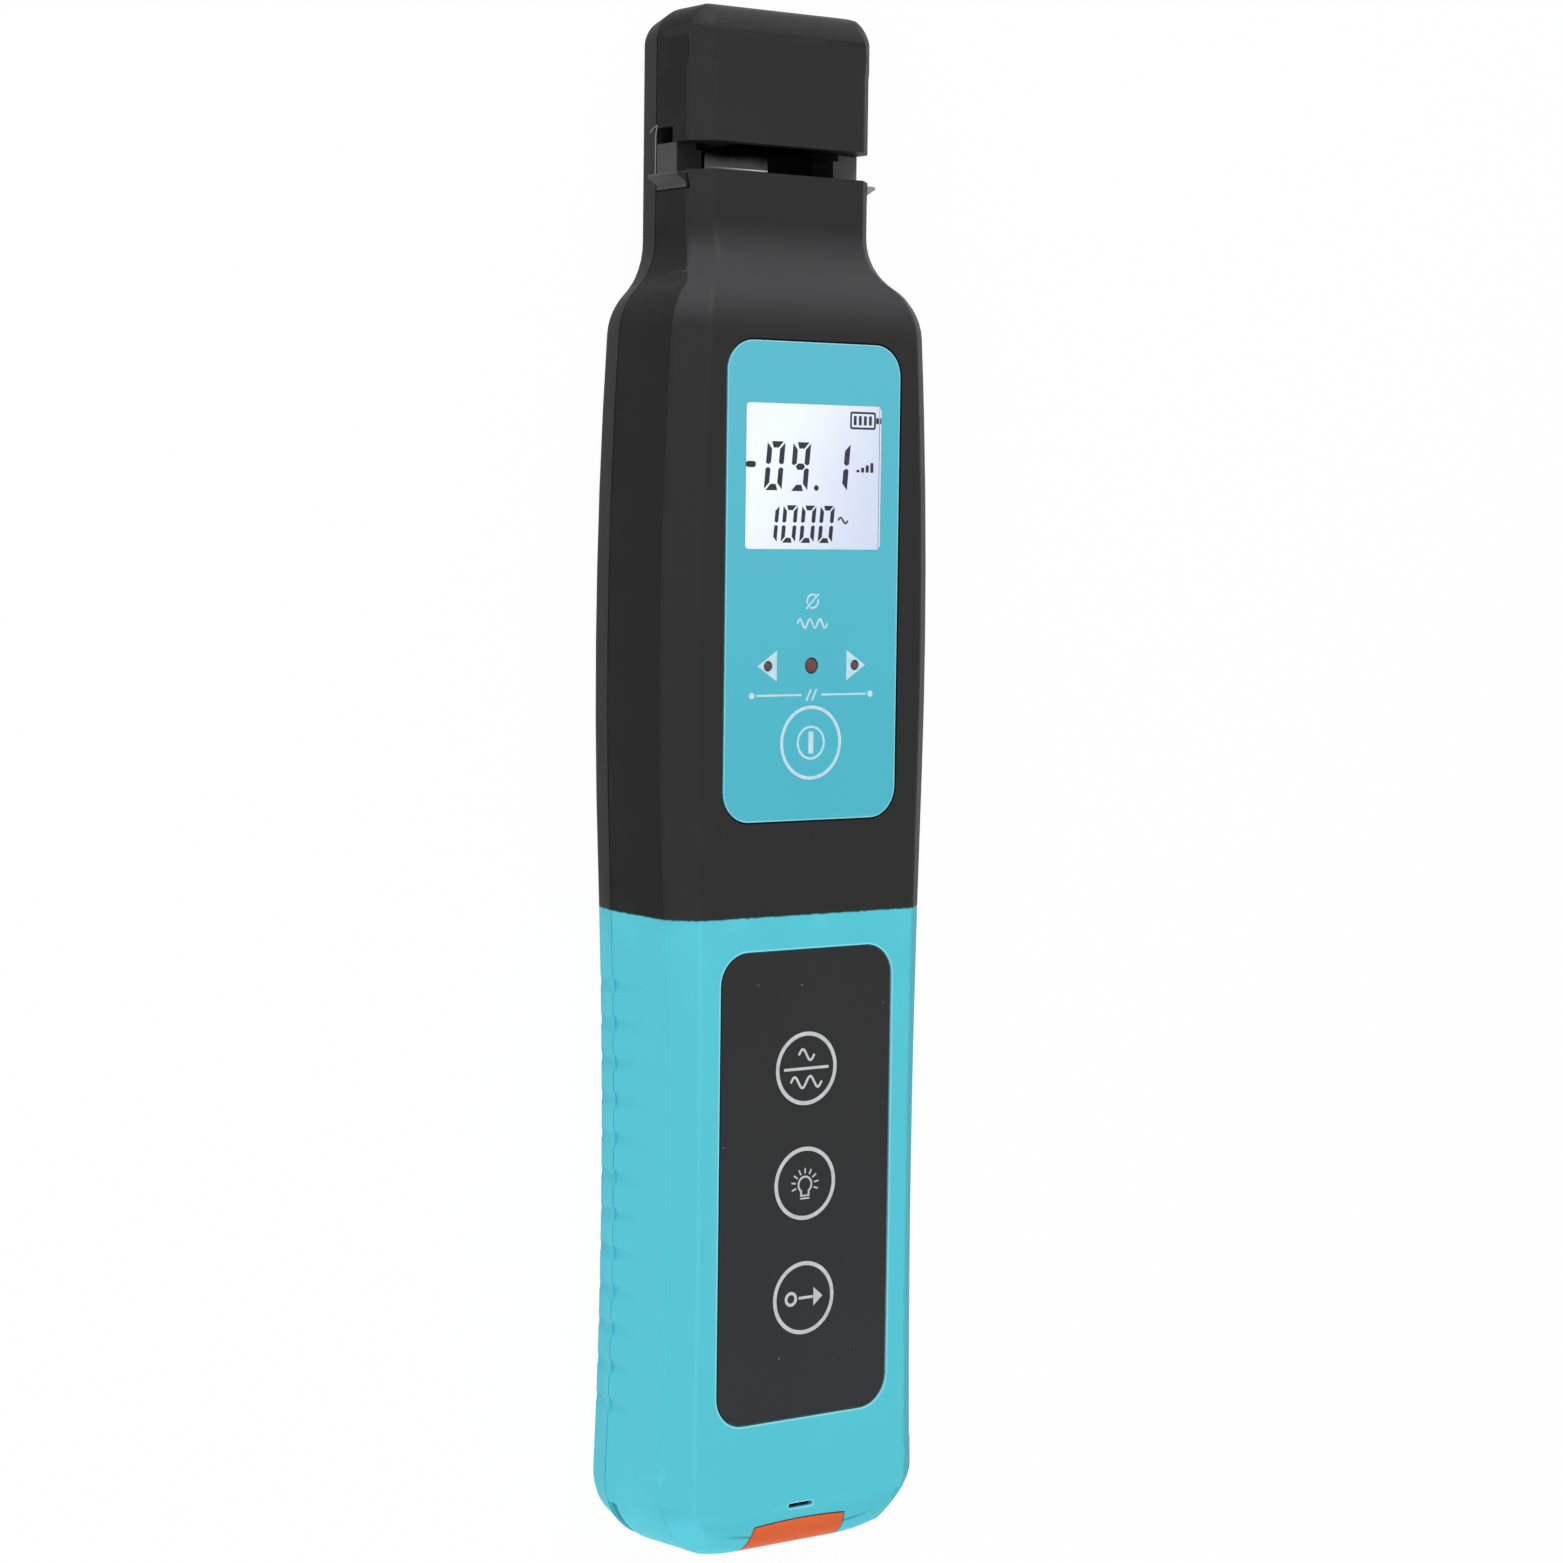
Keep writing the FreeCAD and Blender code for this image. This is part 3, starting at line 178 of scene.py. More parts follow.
class Sheet:
    """The shader tree of one material or of the world."""

    def __init__(self, tree: bpy.types.NodeTree, output: str) -> None:
        """Empty the tree and add its output node."""
        self.tree = tree
        tree.nodes.clear()
        self.output = tree.nodes.new(output)

    def node(self, kind: str, settings: Optional[dict] = None, inputs: Optional[dict] = None,
             output: Any = 0) -> Value:
        """Add a node.

        Args:
            kind: The node's type.
            settings: Its properties, set first.
            inputs: Values or links for its sockets, by name or number.
            output: The socket that is handed back, by name or number.

        Returns:
            That output socket.
        """
        made = self.tree.nodes.new(kind)
        for key, value in (settings or {}).items():
            setattr(made, key, value)
        for key, value in (inputs or {}).items():
            self.plug(made.inputs[key], value)
        return Value(self, made.outputs[output])

    def plug(self, socket: bpy.types.NodeSocket, value: Any) -> None:
        """Link a socket, or set its value."""
        if isinstance(value, Value):
            self.tree.links.new(value.socket, socket)
        elif isinstance(value, tuple) and socket.type == "RGBA" and len(value) == 3:
            socket.default_value = (*value, 1)
        else:
            socket.default_value = value

    def coordinates(self) -> Value:
        """Give the object's own coordinates."""
        return self.node("ShaderNodeTexCoord", output="Object")

    def axis(self, name: str) -> Value:
        """Give one axis of the object's own coordinates, in metres."""
        return self.node("ShaderNodeSeparateXYZ", inputs={0: self.coordinates()}, output=name)

    def height(self) -> Value:
        """Give the height along the tool, in millimetres."""
        return self.axis("Y") / MM + HALF_LENGTH

    def facing(self, name: str) -> Value:
        """Give one axis of the surface's own normal."""
        normal = self.node("ShaderNodeTexCoord", output="Normal")
        return self.node("ShaderNodeSeparateXYZ", inputs={0: normal}, output=name)

    def noise(self, scale: float, detail: float = 2.0, stretch: Optional[Colour] = None) -> Value:
        """Add noise over the object's own coordinates.

        Args:
            scale: How many features there are in a metre.
            detail: How many finer layers it has.
            stretch: A scale for each axis, where the noise is drawn out.

        Returns:
            The noise, from 0 to 1.
        """
        where = self.coordinates()
        if stretch:
            where = self.node("ShaderNodeMapping", inputs={"Vector": where, "Scale": stretch})
        wanted = {"Vector": where, "Scale": scale, "Detail": detail}
        return self.node("ShaderNodeTexNoise", inputs=wanted)

    def blend(self, factor: Any, first: Any, second: Any) -> Value:
        """Mix two colours."""
        settings = {"data_type": "RGBA", "clamp_factor": True}
        return self.node("ShaderNodeMix", settings, {0: factor, 6: first, 7: second}, 2)

    def between(self, value: Value, low: float, high: float) -> Value:
        """Give 0 below low, 1 above high, and a smooth rise between them."""
        settings = {"interpolation_type": "SMOOTHSTEP"}
        return self.node("ShaderNodeMapRange", settings, {0: value, 1: low, 2: high})

    def from_box(self, low: Point, high: Point, corner: float) -> Value:
        """Give the distance in millimetres from a box with round corners on the front.

        Args:
            low: The box's lower left corner.
            high: Its upper right corner.
            corner: The corners' radius.

        Returns:
            The distance, less than 0 inside the box.
        """
        spans = [(self.axis("X") / MM, low[0], high[0]), (self.height(), low[1], high[1])]
        over = []
        for value, start, end in spans:
            past = abs(value - (start + end) / 2) - ((end - start) / 2 - corner)
            over.append(self.node("ShaderNodeMath", {"operation": "MAXIMUM"}, {0: past, 1: 0.0}))
        squares = over[0] * over[0] + over[1] * over[1]
        return self.node("ShaderNodeMath", {"operation": "SQRT"}, {0: squares}) - corner

    def bump(self, height: Value, distance: float, strength: float) -> Value:
        """Turn a height into a normal."""
        inputs = {"Strength": strength, "Distance": distance, "Height": height}
        return self.node("ShaderNodeBump", inputs=inputs, output="Normal")

    def surface(self, **sockets: Any) -> None:
        """Add the main shader, with its socket names written with low lines."""
        inputs = {key.replace("_", " "): value for key, value in sockets.items()}
        self.end(self.node("ShaderNodeBsdfPrincipled", inputs=inputs))

    def mixed(self, factor: Value, first: Value, second: Value) -> None:
        """End the sheet in a mix of two shaders."""
        self.end(self.node("ShaderNodeMixShader", inputs={0: factor, 1: first, 2: second}))

    def end(self, shader: Value) -> None:
        """Link the sheet's last shader to its output."""
        self.plug(self.output.inputs["Surface"], shader)


def tinted(colour: Colour, share: float) -> Colour:
    """Give a colour made lighter or darker by a share."""
    return tuple(min(1.0, value * share) for value in colour)


@dataclass(frozen=True)
class Finish:
    """A finish with a colour and a roughness, which its kinds refine."""

    name: str
    colour: Colour
    roughness: float

    def material(self) -> bpy.types.Material:
        """Give the finish's material, made once."""
        made = bpy.data.materials.get(self.name)
        if made is None:
            made = bpy.data.materials.new(self.name)
            made.use_nodes = True
            self.paint(Sheet(made.node_tree, "ShaderNodeOutputMaterial"))
        return made

    def paint(self, sheet: Sheet) -> None:
        """Fill the material's sheet."""
        raise NotImplementedError

    def mottled(self, sheet: Sheet, scale: float, share: float) -> Value:
        """Give the colour with broad light and dark patches."""
        dark, light = tinted(self.colour, 1 - share), tinted(self.colour, 1 + share)
        return sheet.blend(sheet.noise(scale, 3.0), dark, light)


@dataclass(frozen=True)
class MouldedPlastic(Finish):
    """Moulded plastic with a fine eroded grain, edges lighter as wear and as a painted highlight, and painted
    light and shade for each way that it faces.

    Four shares of the colour paint light and shade onto the faces that look out to the sides, the sloped
    ones, those turned up along the tool and those turned down. The pairs that end in _start, _end or _top say
    where a painted shade begins and is whole, on an axis of the surface's normal.
    """

    grain: float = 2600.0
    grain_depth: float = 0.00003
    grain_strength: float = 0.35
    mottling: float = 0.06
    mottle_scale: float = 45.0
    gloss_scale: float = 90.0
    gloss_change: float = 0.06
    rub: float = 0.5
    rubbed: float = 1.9
    rub_scale: float = 140.0
    rub_edges: Point = (0.52, 0.62)
    rub_patches: Point = (0.35, 0.7)
    shine: float = 0.06
    painted_flank_light: float = 1.0
    painted_facet_light: float = 1.0
    painted_crown_light: float = 1.0
    painted_sole_light: float = 1.0
    flank_end: Point = (0.05, 0.25)
    flank_top: Point = (0.75, 0.95)
    facet_start: Point = (0.45, 0.62)
    facet_end: Point = (0.8, 0.95)
    front_start: Point = (0.1, 0.3)
    crown_start: Point = (0.0, 0.55)
    sole_start: Point = (0.1, 0.6)

    def base(self, sheet: Sheet) -> Value:
        """Give the colour: painted light and shade by which way the case turns, and lighter edges that are
        partly wear and partly a painted highlight.
        """
        edge = sheet.node("ShaderNodeNewGeometry", output="Pointiness")
        # Edges lighter in patches: partly rubbed wear, partly a painted highlight where edges catch the
        # light.
        wear_and_highlight = sheet.between(edge, *self.rub_edges)
        wear_and_highlight = wear_and_highlight * sheet.between(sheet.noise(self.rub_scale), *self.rub_patches)
        upward, outward = sheet.facing("Y"), sheet.facing("Z")
        in_front = sheet.between(outward, *self.front_start)
        beside = 1 - sheet.between(outward, *self.flank_end)
        sloped = sheet.between(outward, *self.facet_start)
        # Painted light and shade: each way that a face looks makes it lighter or darker, standing in for the
        # light that falls on it.
        painted_shades = [
            (self.painted_flank_light, beside * (1 - sheet.between(upward, *self.flank_top))),
            (self.painted_facet_light, sloped * (1 - sheet.between(outward, *self.facet_end))),
            (self.painted_crown_light, sheet.between(upward, *self.crown_start) * in_front),
            (self.painted_sole_light, sheet.between(0 - upward, *self.sole_start) * in_front),
        ]
        plain = self.mottled(sheet, self.mottle_scale, self.mottling)
        for share, mask in painted_shades:
            plain = sheet.blend(mask, plain, tinted(self.colour, share))
        return sheet.blend(wear_and_highlight * self.rub, plain, tinted(self.colour, self.rubbed))

    def paint(self, sheet: Sheet) -> None:
        """Fill the material's sheet."""
        patches = sheet.noise(self.gloss_scale, 3.0)
        sheet.surface(
            Base_Color=self.base(sheet),
            Roughness=self.roughness - self.gloss_change / 2 + self.gloss_change * patches,
            Specular_IOR_Level=self.shine,
            Normal=sheet.bump(sheet.noise(self.grain), self.grain_depth, self.grain_strength),
        )


@dataclass(frozen=True)
class GuidePlastic(MouldedPlastic):
    """The guide's plastic, with painted shade on the forward faces of the left post and painted light on
    those of the right one.
    """

    left_painted_shade: float = 0.3
    right_painted_light: float = 5.6
    forward: Point = (0.7, 0.9)

    def base(self, sheet: Sheet) -> Value:
        """Give the colour, by which way a face looks and on which side it is."""
        right = sheet.axis("X") > 0.0
        # Painted shade on the left post's forward faces, and painted light on the right post's.
        front = sheet.blend(right, tinted(self.colour, self.left_painted_shade), tinted(self.colour, self.right_painted_light))
        forward = sheet.between(sheet.facing("Z"), *self.forward)
        return sheet.blend(forward, MouldedPlastic.base(self, sheet), front)


@dataclass(frozen=True)
class GripSkin(MouldedPlastic):
    """The soft skin of the grip, with a ragged dark line where it meets the black half."""

    split: float = 82.2
    line: float = 0.22
    line_shade: float = 0.18
    raggedness: float = 0.34
    rag_scale: float = 1600.0
    label: Sequence[Point] = ((-13.22, 17.48), (13.22, 77.82))
    label_corner: float = 4.12
    slot: Sequence[Point] = ((-1.9, 5.81), (1.9, 6.49))
    slot_corner: float = 0.25
    rim_widths: Point = (0.26, 0.2)
    rim_core: float = 0.3
    rim_depth: float = 21.7
    rim_cover: float = 0.8
    rim_highlight_colour: Colour = linear(160, 232, 242)
    crease_start: Point = (7.0, 2.75)
    crease_rise: float = 0.17
    crease_width: float = 0.28
    crease_length: float = 6.0
    crease_depth: float = 17.0
    crease_cover: float = 0.75
    crease_shade: float = 0.3

    def painted_rim_highlights(self, sheet: Sheet, plain: Value) -> Value:
        """Give the colour with painted highlights round the label and the slot."""
        boxes = [sheet.from_box(*self.label, self.label_corner), sheet.from_box(*self.slot, self.slot_corner)]
        for away, width in zip(boxes, self.rim_widths):
            # A painted highlight along the rounded edge of each opening.
            light = 1 - sheet.between(away, self.rim_core * width, width)
            light = light * (sheet.axis("Z") > self.rim_depth * MM)
            plain = sheet.blend(light * self.rim_cover, plain, self.rim_highlight_colour)
        return plain

    def painted_creases(self, sheet: Sheet, plain: Value) -> Value:
        """Give the colour with painted shade along a crease that runs out from each side of the cap."""
        beside = abs(sheet.axis("X") / MM) - self.crease_start[0]
        away = abs(sheet.height() - self.crease_start[1] - beside * self.crease_rise)
        # Painted shade where the front turns into the lower end beside the cap.
        crease = 1 - sheet.between(away, 0.0, self.crease_width)
        crease = crease * (1 - sheet.between(beside, 0.0, self.crease_length))
        crease = crease * (beside > 0.0) * (sheet.axis("Z") > self.crease_depth * MM)
        return sheet.blend(crease * self.crease_cover, plain, tinted(self.colour, self.crease_shade))

    def base(self, sheet: Sheet) -> Value:
        """Give the colour, dark along the split, with painted shade beside the cap and painted highlights
        round the openings.
        """
        plain = self.painted_creases(sheet, self.painted_rim_highlights(sheet, MouldedPlastic.base(self, sheet)))
        under = self.split - sheet.height() + self.raggedness * (sheet.noise(self.rag_scale, 4.0) - 0.5)
        line = 1 - sheet.between(under, 0.0, self.line)
        return sheet.blend(line, plain, tinted(self.colour, self.line_shade))


@dataclass(frozen=True)
class LabelFilm(Finish):
    """Printed film: a gentle change of shade along the tool, fine orange peel and dust."""

    foot: Colour = (0.1, 0.1, 0.1)
    span: Point = (94.0, 154.0)
    dust: float = 0.0
    dust_colour: Colour = linear(150, 150, 148)
    speck_scale: float = 420.0
    speck_size: Point = (0.03, 0.07)
    speck_patches: Point = (0.58, 0.66)
    patch_dark: Colour = (0.94, 0.94, 0.94)
    gloss_change: float = 0.08
    coat: float = 0.05
    coat_roughness: float = 0.35
    shine: float = 0.12
    peel_scale: float = 1500.0
    peel_depth: float = 0.00001

    def paint(self, sheet: Sheet) -> None:
        """Fill the material's sheet."""
        low, high = [(height - HALF_LENGTH) * MM for height in self.span]
        along = sheet.between(sheet.axis("Y"), low, high)
        shade = sheet.blend(along, self.foot, self.colour)
        patch = sheet.blend(sheet.noise(70.0, 3.0), self.patch_dark, (1.0, 1.0, 1.0))
        multiply = {"data_type": "RGBA", "blend_type": "MULTIPLY"}
        shade = sheet.node("ShaderNodeMix", multiply, {0: 1.0, 6: shade, 7: patch}, 2)
        where = {"Vector": sheet.coordinates(), "Scale": self.speck_scale}
        cell = sheet.node("ShaderNodeTexVoronoi", inputs=where, output="Distance")
        speck = 1 - sheet.between(cell, *self.speck_size)
        speck = speck * sheet.between(sheet.noise(160.0), *self.speck_patches)
        peel = sheet.noise(self.peel_scale, 1.0)
        sheet.surface(
            Base_Color=sheet.blend(speck * self.dust, shade, self.dust_colour),
            Roughness=self.roughness - self.gloss_change / 2 + self.gloss_change * sheet.noise(60.0),
            Specular_IOR_Level=self.shine,
            Coat_Weight=self.coat,
            Coat_Roughness=self.coat_roughness,
            Normal=sheet.bump(peel, self.peel_depth, 0.3),
        )


@dataclass(frozen=True)
class Ink(Finish):
    """Screen-printed ink, a little uneven in cover."""

    cover: Colour = (0.0, 0.0, 0.0)
    thin_patches: Point = (0.3, 0.75)
    shine: float = 0.25

    def paint(self, sheet: Sheet) -> None:
        """Fill the material's sheet."""
        thin = sheet.between(sheet.noise(1300.0, 3.0), *self.thin_patches)
        sheet.surface(
            Base_Color=sheet.blend(thin, self.colour, self.cover),
            Roughness=self.roughness + 0.08 * (thin - 0.5),
            Specular_IOR_Level=self.shine,
        )


@dataclass(frozen=True)
class LitDisplay(Finish):
    """Backlit display glass, white at the left and bluer towards its lower right corner."""

    edge: Colour = (0.6, 0.6, 0.8)
    centre: Point = (0.0, 137.2)
    slope: float = 0.45
    span: Point = (-9.0, 13.0)
    unevenness: float = 0.2
    strength: float = 1.0
    unlit: Colour = (0.02, 0.02, 0.02)

    def paint(self, sheet: Sheet) -> None:
        """Fill the material's sheet."""
        across = sheet.axis("X") / MM - self.centre[0]
        along = sheet.height() - self.centre[1]
        away = sheet.between(across - self.slope * along, *self.span)
        uneven = away + self.unevenness * (sheet.noise(110.0) - 0.5)
        shade = sheet.blend(uneven, self.colour, self.edge)
        sheet.surface(
            Base_Color=self.unlit,
            Roughness=self.roughness,
            Emission_Color=shade,
            Emission_Strength=self.strength,
        )


@dataclass(frozen=True)
class ClearPlastic(Finish):
    """Clear plastic with an anti-glare coat and faint wiping marks."""

    index: float = 1.49
    glare: float = 0.3
    wiping: Colour = (1.0, 0.15, 1.0)

    def paint(self, sheet: Sheet) -> None:
        """Fill the material's sheet."""
        wiped = sheet.noise(300.0, 2.0, stretch=self.wiping)
        sheet.surface(
            Base_Color=self.colour,
            Roughness=self.roughness + 0.03 * wiped,
            IOR=self.index,
            Specular_Tint=(self.glare, self.glare, self.glare),
            Transmission_Weight=1.0,
        )


@dataclass(frozen=True)
class Metal(Finish):
    """Metal with brushing along one axis, and a duller bloom."""

    brushing: Colour = (1.0, 0.05, 1.0)
    brush_scale: float = 2400.0
    bloom: float = 0.25
    bloom_shade: float = 0.55
    bloom_patches: Point = (0.4, 0.75)

    def paint(self, sheet: Sheet) -> None:
        """Fill the material's sheet."""
        lines = sheet.noise(self.brush_scale, 3.0, stretch=self.brushing)
        patches = sheet.between(sheet.noise(220.0, 3.0), *self.bloom_patches)
        sheet.surface(
            Base_Color=sheet.blend(patches * self.bloom, self.colour, tinted(self.colour, self.bloom_shade)),
            Metallic=1.0,
            Roughness=self.roughness + 0.15 * lines + 0.12 * patches,
            Normal=sheet.bump(lines, 0.00001, 0.3),
        )


@dataclass(frozen=True)
class CircuitBoard(Finish):
    """Solder mask over tracks that run along and across the board."""

    track: Colour = (0.05, 0.25, 0.1)
    track_scale: float = 260.0
    track_width: float = 0.018

    def paint(self, sheet: Sheet) -> None:
        """Fill the material's sheet."""
        brick = {"Vector": sheet.coordinates(), "Scale": self.track_scale,
                 "Mortar Size": self.track_width}
        lines = sheet.node("ShaderNodeTexBrick", inputs=brick, output="Fac")
        shade = sheet.blend(lines, self.mottled(sheet, 80.0, 0.1), self.track)
        sheet.surface(
            Base_Color=shade,
            Roughness=self.roughness + 0.1 * lines,
            Normal=sheet.bump(lines, 0.00003, 0.4),
        )


@dataclass(frozen=True)
class CellJacket(Finish):
    """A shrunk jacket with a band round the upper end and bare metal past it."""

    band: Colour = (0.8, 0.8, 0.8)
    band_span: Point = (60.0, 64.0)
    jacket_high: float = 68.6
    bare_metal: Colour = linear(190, 190, 186)

    def paint(self, sheet: Sheet) -> None:
        """Fill the material's sheet."""
        height = sheet.height()
        inside = (height > self.band_span[0]) * (1 - (height > self.band_span[1]))
        bare = height > self.jacket_high
        printed = sheet.blend(inside, self.mottled(sheet, 120.0, 0.08), self.band)
        sheet.surface(
            Base_Color=sheet.blend(bare, printed, self.bare_metal),
            Metallic=bare,
            Roughness=self.roughness + 0.1 * sheet.noise(500.0),
        )


@dataclass(frozen=True)
class LampLens(Finish):
    """A tinted lamp lens with painted shade round its rim, where it sits below the film."""

    at: Point = (0.0, 0.0)
    radius: float = 1.0
    rim: Point = (0.62, 0.86)
    rim_painted_shade: float = 0.15

    def paint(self, sheet: Sheet) -> None:
        """Fill the material's sheet."""
        x, height = self.at
        away = sheet.from_box((x, height), (x, height), 0.0) / self.radius
        rim = sheet.between(away, *self.rim)
        # Painted shade at the rim, where the lens sits below the film.
        dark = tinted(self.colour, self.rim_painted_shade)
        sheet.surface(
            Base_Color=sheet.blend(rim, self.mottled(sheet, 1500.0, 0.2), dark),
            Roughness=self.roughness + 0.1 * rim,
            Coat_Weight=0.15,
            Coat_Roughness=0.2,
        )


@dataclass(frozen=True)
class AnvilSteel(Metal):
    """Dull steel with painted shadow towards its upper end, and a smoother band along the fibre's line that
    is painted bright as a highlight.
    """

    polish_highlight_band: Point = (176.76, 176.92)
    polish_ends: Point = (-6.0, 4.0)
    polish_highlight_colour: Colour = linear(238, 238, 236)
    dark: Point = (177.1, 178.7)
    painted_shadow_share: float = 0.02

    def paint(self, sheet: Sheet) -> None:
        """Fill the material's sheet."""
        height = sheet.height()
        lines = sheet.noise(self.brush_scale, 3.0, stretch=self.brushing)
        # A smoother band along the fibre's line, painted bright as a highlight.
        wear_and_highlight = (height > self.polish_highlight_band[0]) * (1 - (height > self.polish_highlight_band[1]))
        wear_and_highlight = wear_and_highlight * sheet.between(sheet.axis("X"), *[end * MM for end in self.polish_ends])
        # Painted shadow: darker towards the upper end, under the head.
        painted_shadow = sheet.between(height + 0.8 * (sheet.noise(420.0, 3.0) - 0.5), *self.dark)
        shade = sheet.blend(painted_shadow, self.colour, tinted(self.colour, self.painted_shadow_share))
        sheet.surface(
            Base_Color=sheet.blend(wear_and_highlight, shade, self.polish_highlight_colour),
            Metallic=1.0,
            Roughness=self.roughness + 0.2 * lines - 0.15 * wear_and_highlight,
            Normal=sheet.bump(lines, 0.00002, 0.4),
        )


# Painted shade on the sides, and painted light where the case turns up along the tool.
BLACK_PLASTIC = MouldedPlastic("black_case_plastic", linear(46, 46, 47), 0.5, mottling=0.03, painted_flank_light=0.45,
                               painted_crown_light=1.85, rub=0.15)
HEAD_PLASTIC = replace(BLACK_PLASTIC, name="black_head_plastic", painted_crown_light=1.3)
DARK_PLASTIC = MouldedPlastic("dark_slide_plastic", linear(44, 44, 45), 0.45)
GUIDE_PLASTIC = GuidePlastic("grey_guide_plastic", linear(64, 64, 65), 0.42, mottling=0.2, rub=0.6,
                             shine=0.15)
# Painted light on the sides and the lower end, and painted shade on the sloped faces.
BLUE_GRIP = GripSkin("blue_grip_skin", linear(90, 202, 218), 0.52, mottling=0.025, rub=0.15,
                     grain_depth=0.00002, painted_flank_light=1.1, painted_facet_light=0.92, painted_sole_light=1.22)
COVER_PLASTIC = MouldedPlastic("blue_cover_plastic", linear(90, 202, 218), 0.52, mottling=0.025,
                               rub=0.15, grain_depth=0.00002)
TEAL_FILM = LabelFilm("teal_label_film", linear(94, 191, 209), 0.42, foot=linear(82, 188, 206))
BLACK_FILM = LabelFilm("black_label_film", linear(42, 42, 43), 0.46, foot=linear(46, 47, 48),
                       span=(17.0, 78.0), dust=0.5)
# A painted highlight where the upper film's cut edge catches the light.
FILM_EDGE_HIGHLIGHT = Ink("film_edge_highlight", linear(150, 216, 228), 0.5, cover=linear(128, 205, 220))
PALE_INK = Ink("pale_label_ink", linear(182, 220, 231), 0.55, cover=linear(206, 230, 238))
WHITE_INK = Ink("white_key_ink", linear(192, 193, 195), 0.55, cover=linear(208, 209, 210))
DISPLAY = LitDisplay("display_glass_lit", linear(240, 247, 252), 0.3, edge=linear(206, 215, 238))
SEGMENT_INK = Ink("display_segments", linear(14, 10, 30), 0.4, cover=linear(26, 20, 66))
CLEAR_WINDOW = ClearPlastic("clear_window_plastic", (1.0, 1.0, 1.0), 0.0)
ORANGE_CAP = MouldedPlastic("orange_cap_plastic", linear(240, 110, 62), 0.5, mottling=0.05)
WHITE_PLASTIC = MouldedPlastic("white_light_guide", linear(228, 230, 232), 0.4, mottling=0.03, rub=0.0)
SWITCH_PLASTIC = MouldedPlastic("switch_plastic", linear(36, 36, 38), 0.5, rub=0.1)
BOARD = CircuitBoard("board_mask", linear(20, 84, 48), 0.4, track=linear(52, 120, 66))
STEEL = Metal("spring_steel", linear(186, 188, 190), 0.28)
# The steel of a wire that stands for the highlight along the rear shell's edge by the left post.
EDGE_HIGHLIGHT_STEEL = Metal("edge_highlight_steel", linear(128, 128, 128), 0.45)
DULL_STEEL = AnvilSteel("anvil_steel", linear(112, 113, 112), 0.3, brushing=(0.08, 1.0, 1.0))
ZINC = Metal("zinc_screw_plate", linear(176, 177, 180), 0.36)
BRASS = Metal("laser_housing_brass", linear(204, 170, 96), 0.3)
CERAMIC = MouldedPlastic("ferrule_ceramic", linear(232, 231, 224), 0.25, mottling=0.02, rub=0.0)
CELL = CellJacket("cell_jacket_film", linear(46, 62, 92), 0.35, band=linear(196, 198, 200))
RED_LENS = LampLens("lamp_lens", linear(104, 46, 42), 0.3)


def polar(centre: Point, radius: float, angle: float) -> Point:
    """Give the point at an angle in degrees round a centre."""
    turn = math.radians(angle)
    return centre[0] + radius * math.cos(turn), centre[1] + radius * math.sin(turn)


def circle(x: float, height: float, radius: float, steps: int = 96) -> Outline:
    """Give a circle's points."""
    return [polar((x, height), radius, 360 * step / steps) for step in range(steps)]


def rounded_box(low: Point, high: Point, corner: float, steps: int = 12) -> Outline:
    """Give a box's outline with round corners.

    Args:
        low: Its lower left corner.
        high: Its upper right corner.
        corner: The corners' radius.
        steps: How many parts each corner has.

    Returns:
        The outline, anticlockwise.
    """
    centres = [(high[0], high[1], 0), (low[0], high[1], 1), (low[0], low[1], 2), (high[0], low[1], 3)]
    points = []
    for x, height, quarter in centres:
        x += corner if x == low[0] else -corner
        height += corner if height == low[1] else -corner
        points += arc((x, height), corner, 90 * quarter, 90 * (quarter + 1), steps)
    return points


def inset_box(box: Sequence[Point], inset: float, corner: float, steps: int = 12) -> Outline:
    """Give the outline of a box drawn in on all sides, with round corners."""
    (left, low), (right, high) = box
    return rounded_box((left + inset, low + inset), (right - inset, high - inset), corner, steps)


def band(path: Sequence[Point], width: float) -> Outline:
    """Give the outline of a stroke along a path.

    Args:
        path: The points that the stroke follows.
        width: The stroke's width.

    Returns:
        The stroke's outline.
    """
    left, right = [], []
    for index, (x, height) in enumerate(path):
        before = path[max(index - 1, 0)]
        after = path[min(index + 1, len(path) - 1)]
        way = Vector((after[0] - before[0], after[1] - before[1])).normalized() * width / 2
        left.append((x - way.y, height + way.x))
        right.append((x + way.y, height - way.x))
    return left + right[::-1]


def arc(centre: Point, radius: float, start: float, end: float, steps: int = 24) -> Outline:
    """Give points along an arc between two angles in degrees."""
    return [polar(centre, radius, start + (end - start) * step / steps) for step in range(steps + 1)]


def bar(left: float, right: float, middle: float, half: float, corner: float, steps: int = 3) -> Outline:
    """Give the outline of a level bar.

    Args:
        left: Its left end.
        right: Its right end.
        middle: The height of its middle.
        half: Half its thickness.
        corner: The corners' radius.
        steps: How many parts each corner has.

    Returns:
        The outline, anticlockwise.
    """
    return rounded_box((left, middle - half), (right, middle + half), corner, steps)


def wave(start: Point, length: float, swing: float, turns: int, steps: int) -> Outline:
    """Give points along a wave.

    Args:
        start: Its left end.
        length: Its length across the tool.
        swing: How far it goes up and down.
        turns: How many whole waves it has.
        steps: How many parts it has.

    Returns:
        The points, from left to right.
    """
    shares = [step / steps for step in range(steps + 1)]
    return [(start[0] + length * s, start[1] + swing * math.sin(2 * math.pi * turns * s)) for s in shares]


def pairs(loop: list) -> list[tuple]:
    """Give each point of a closed loop with the next one."""
    return list(zip(loop, loop[1:] + loop[:1]))


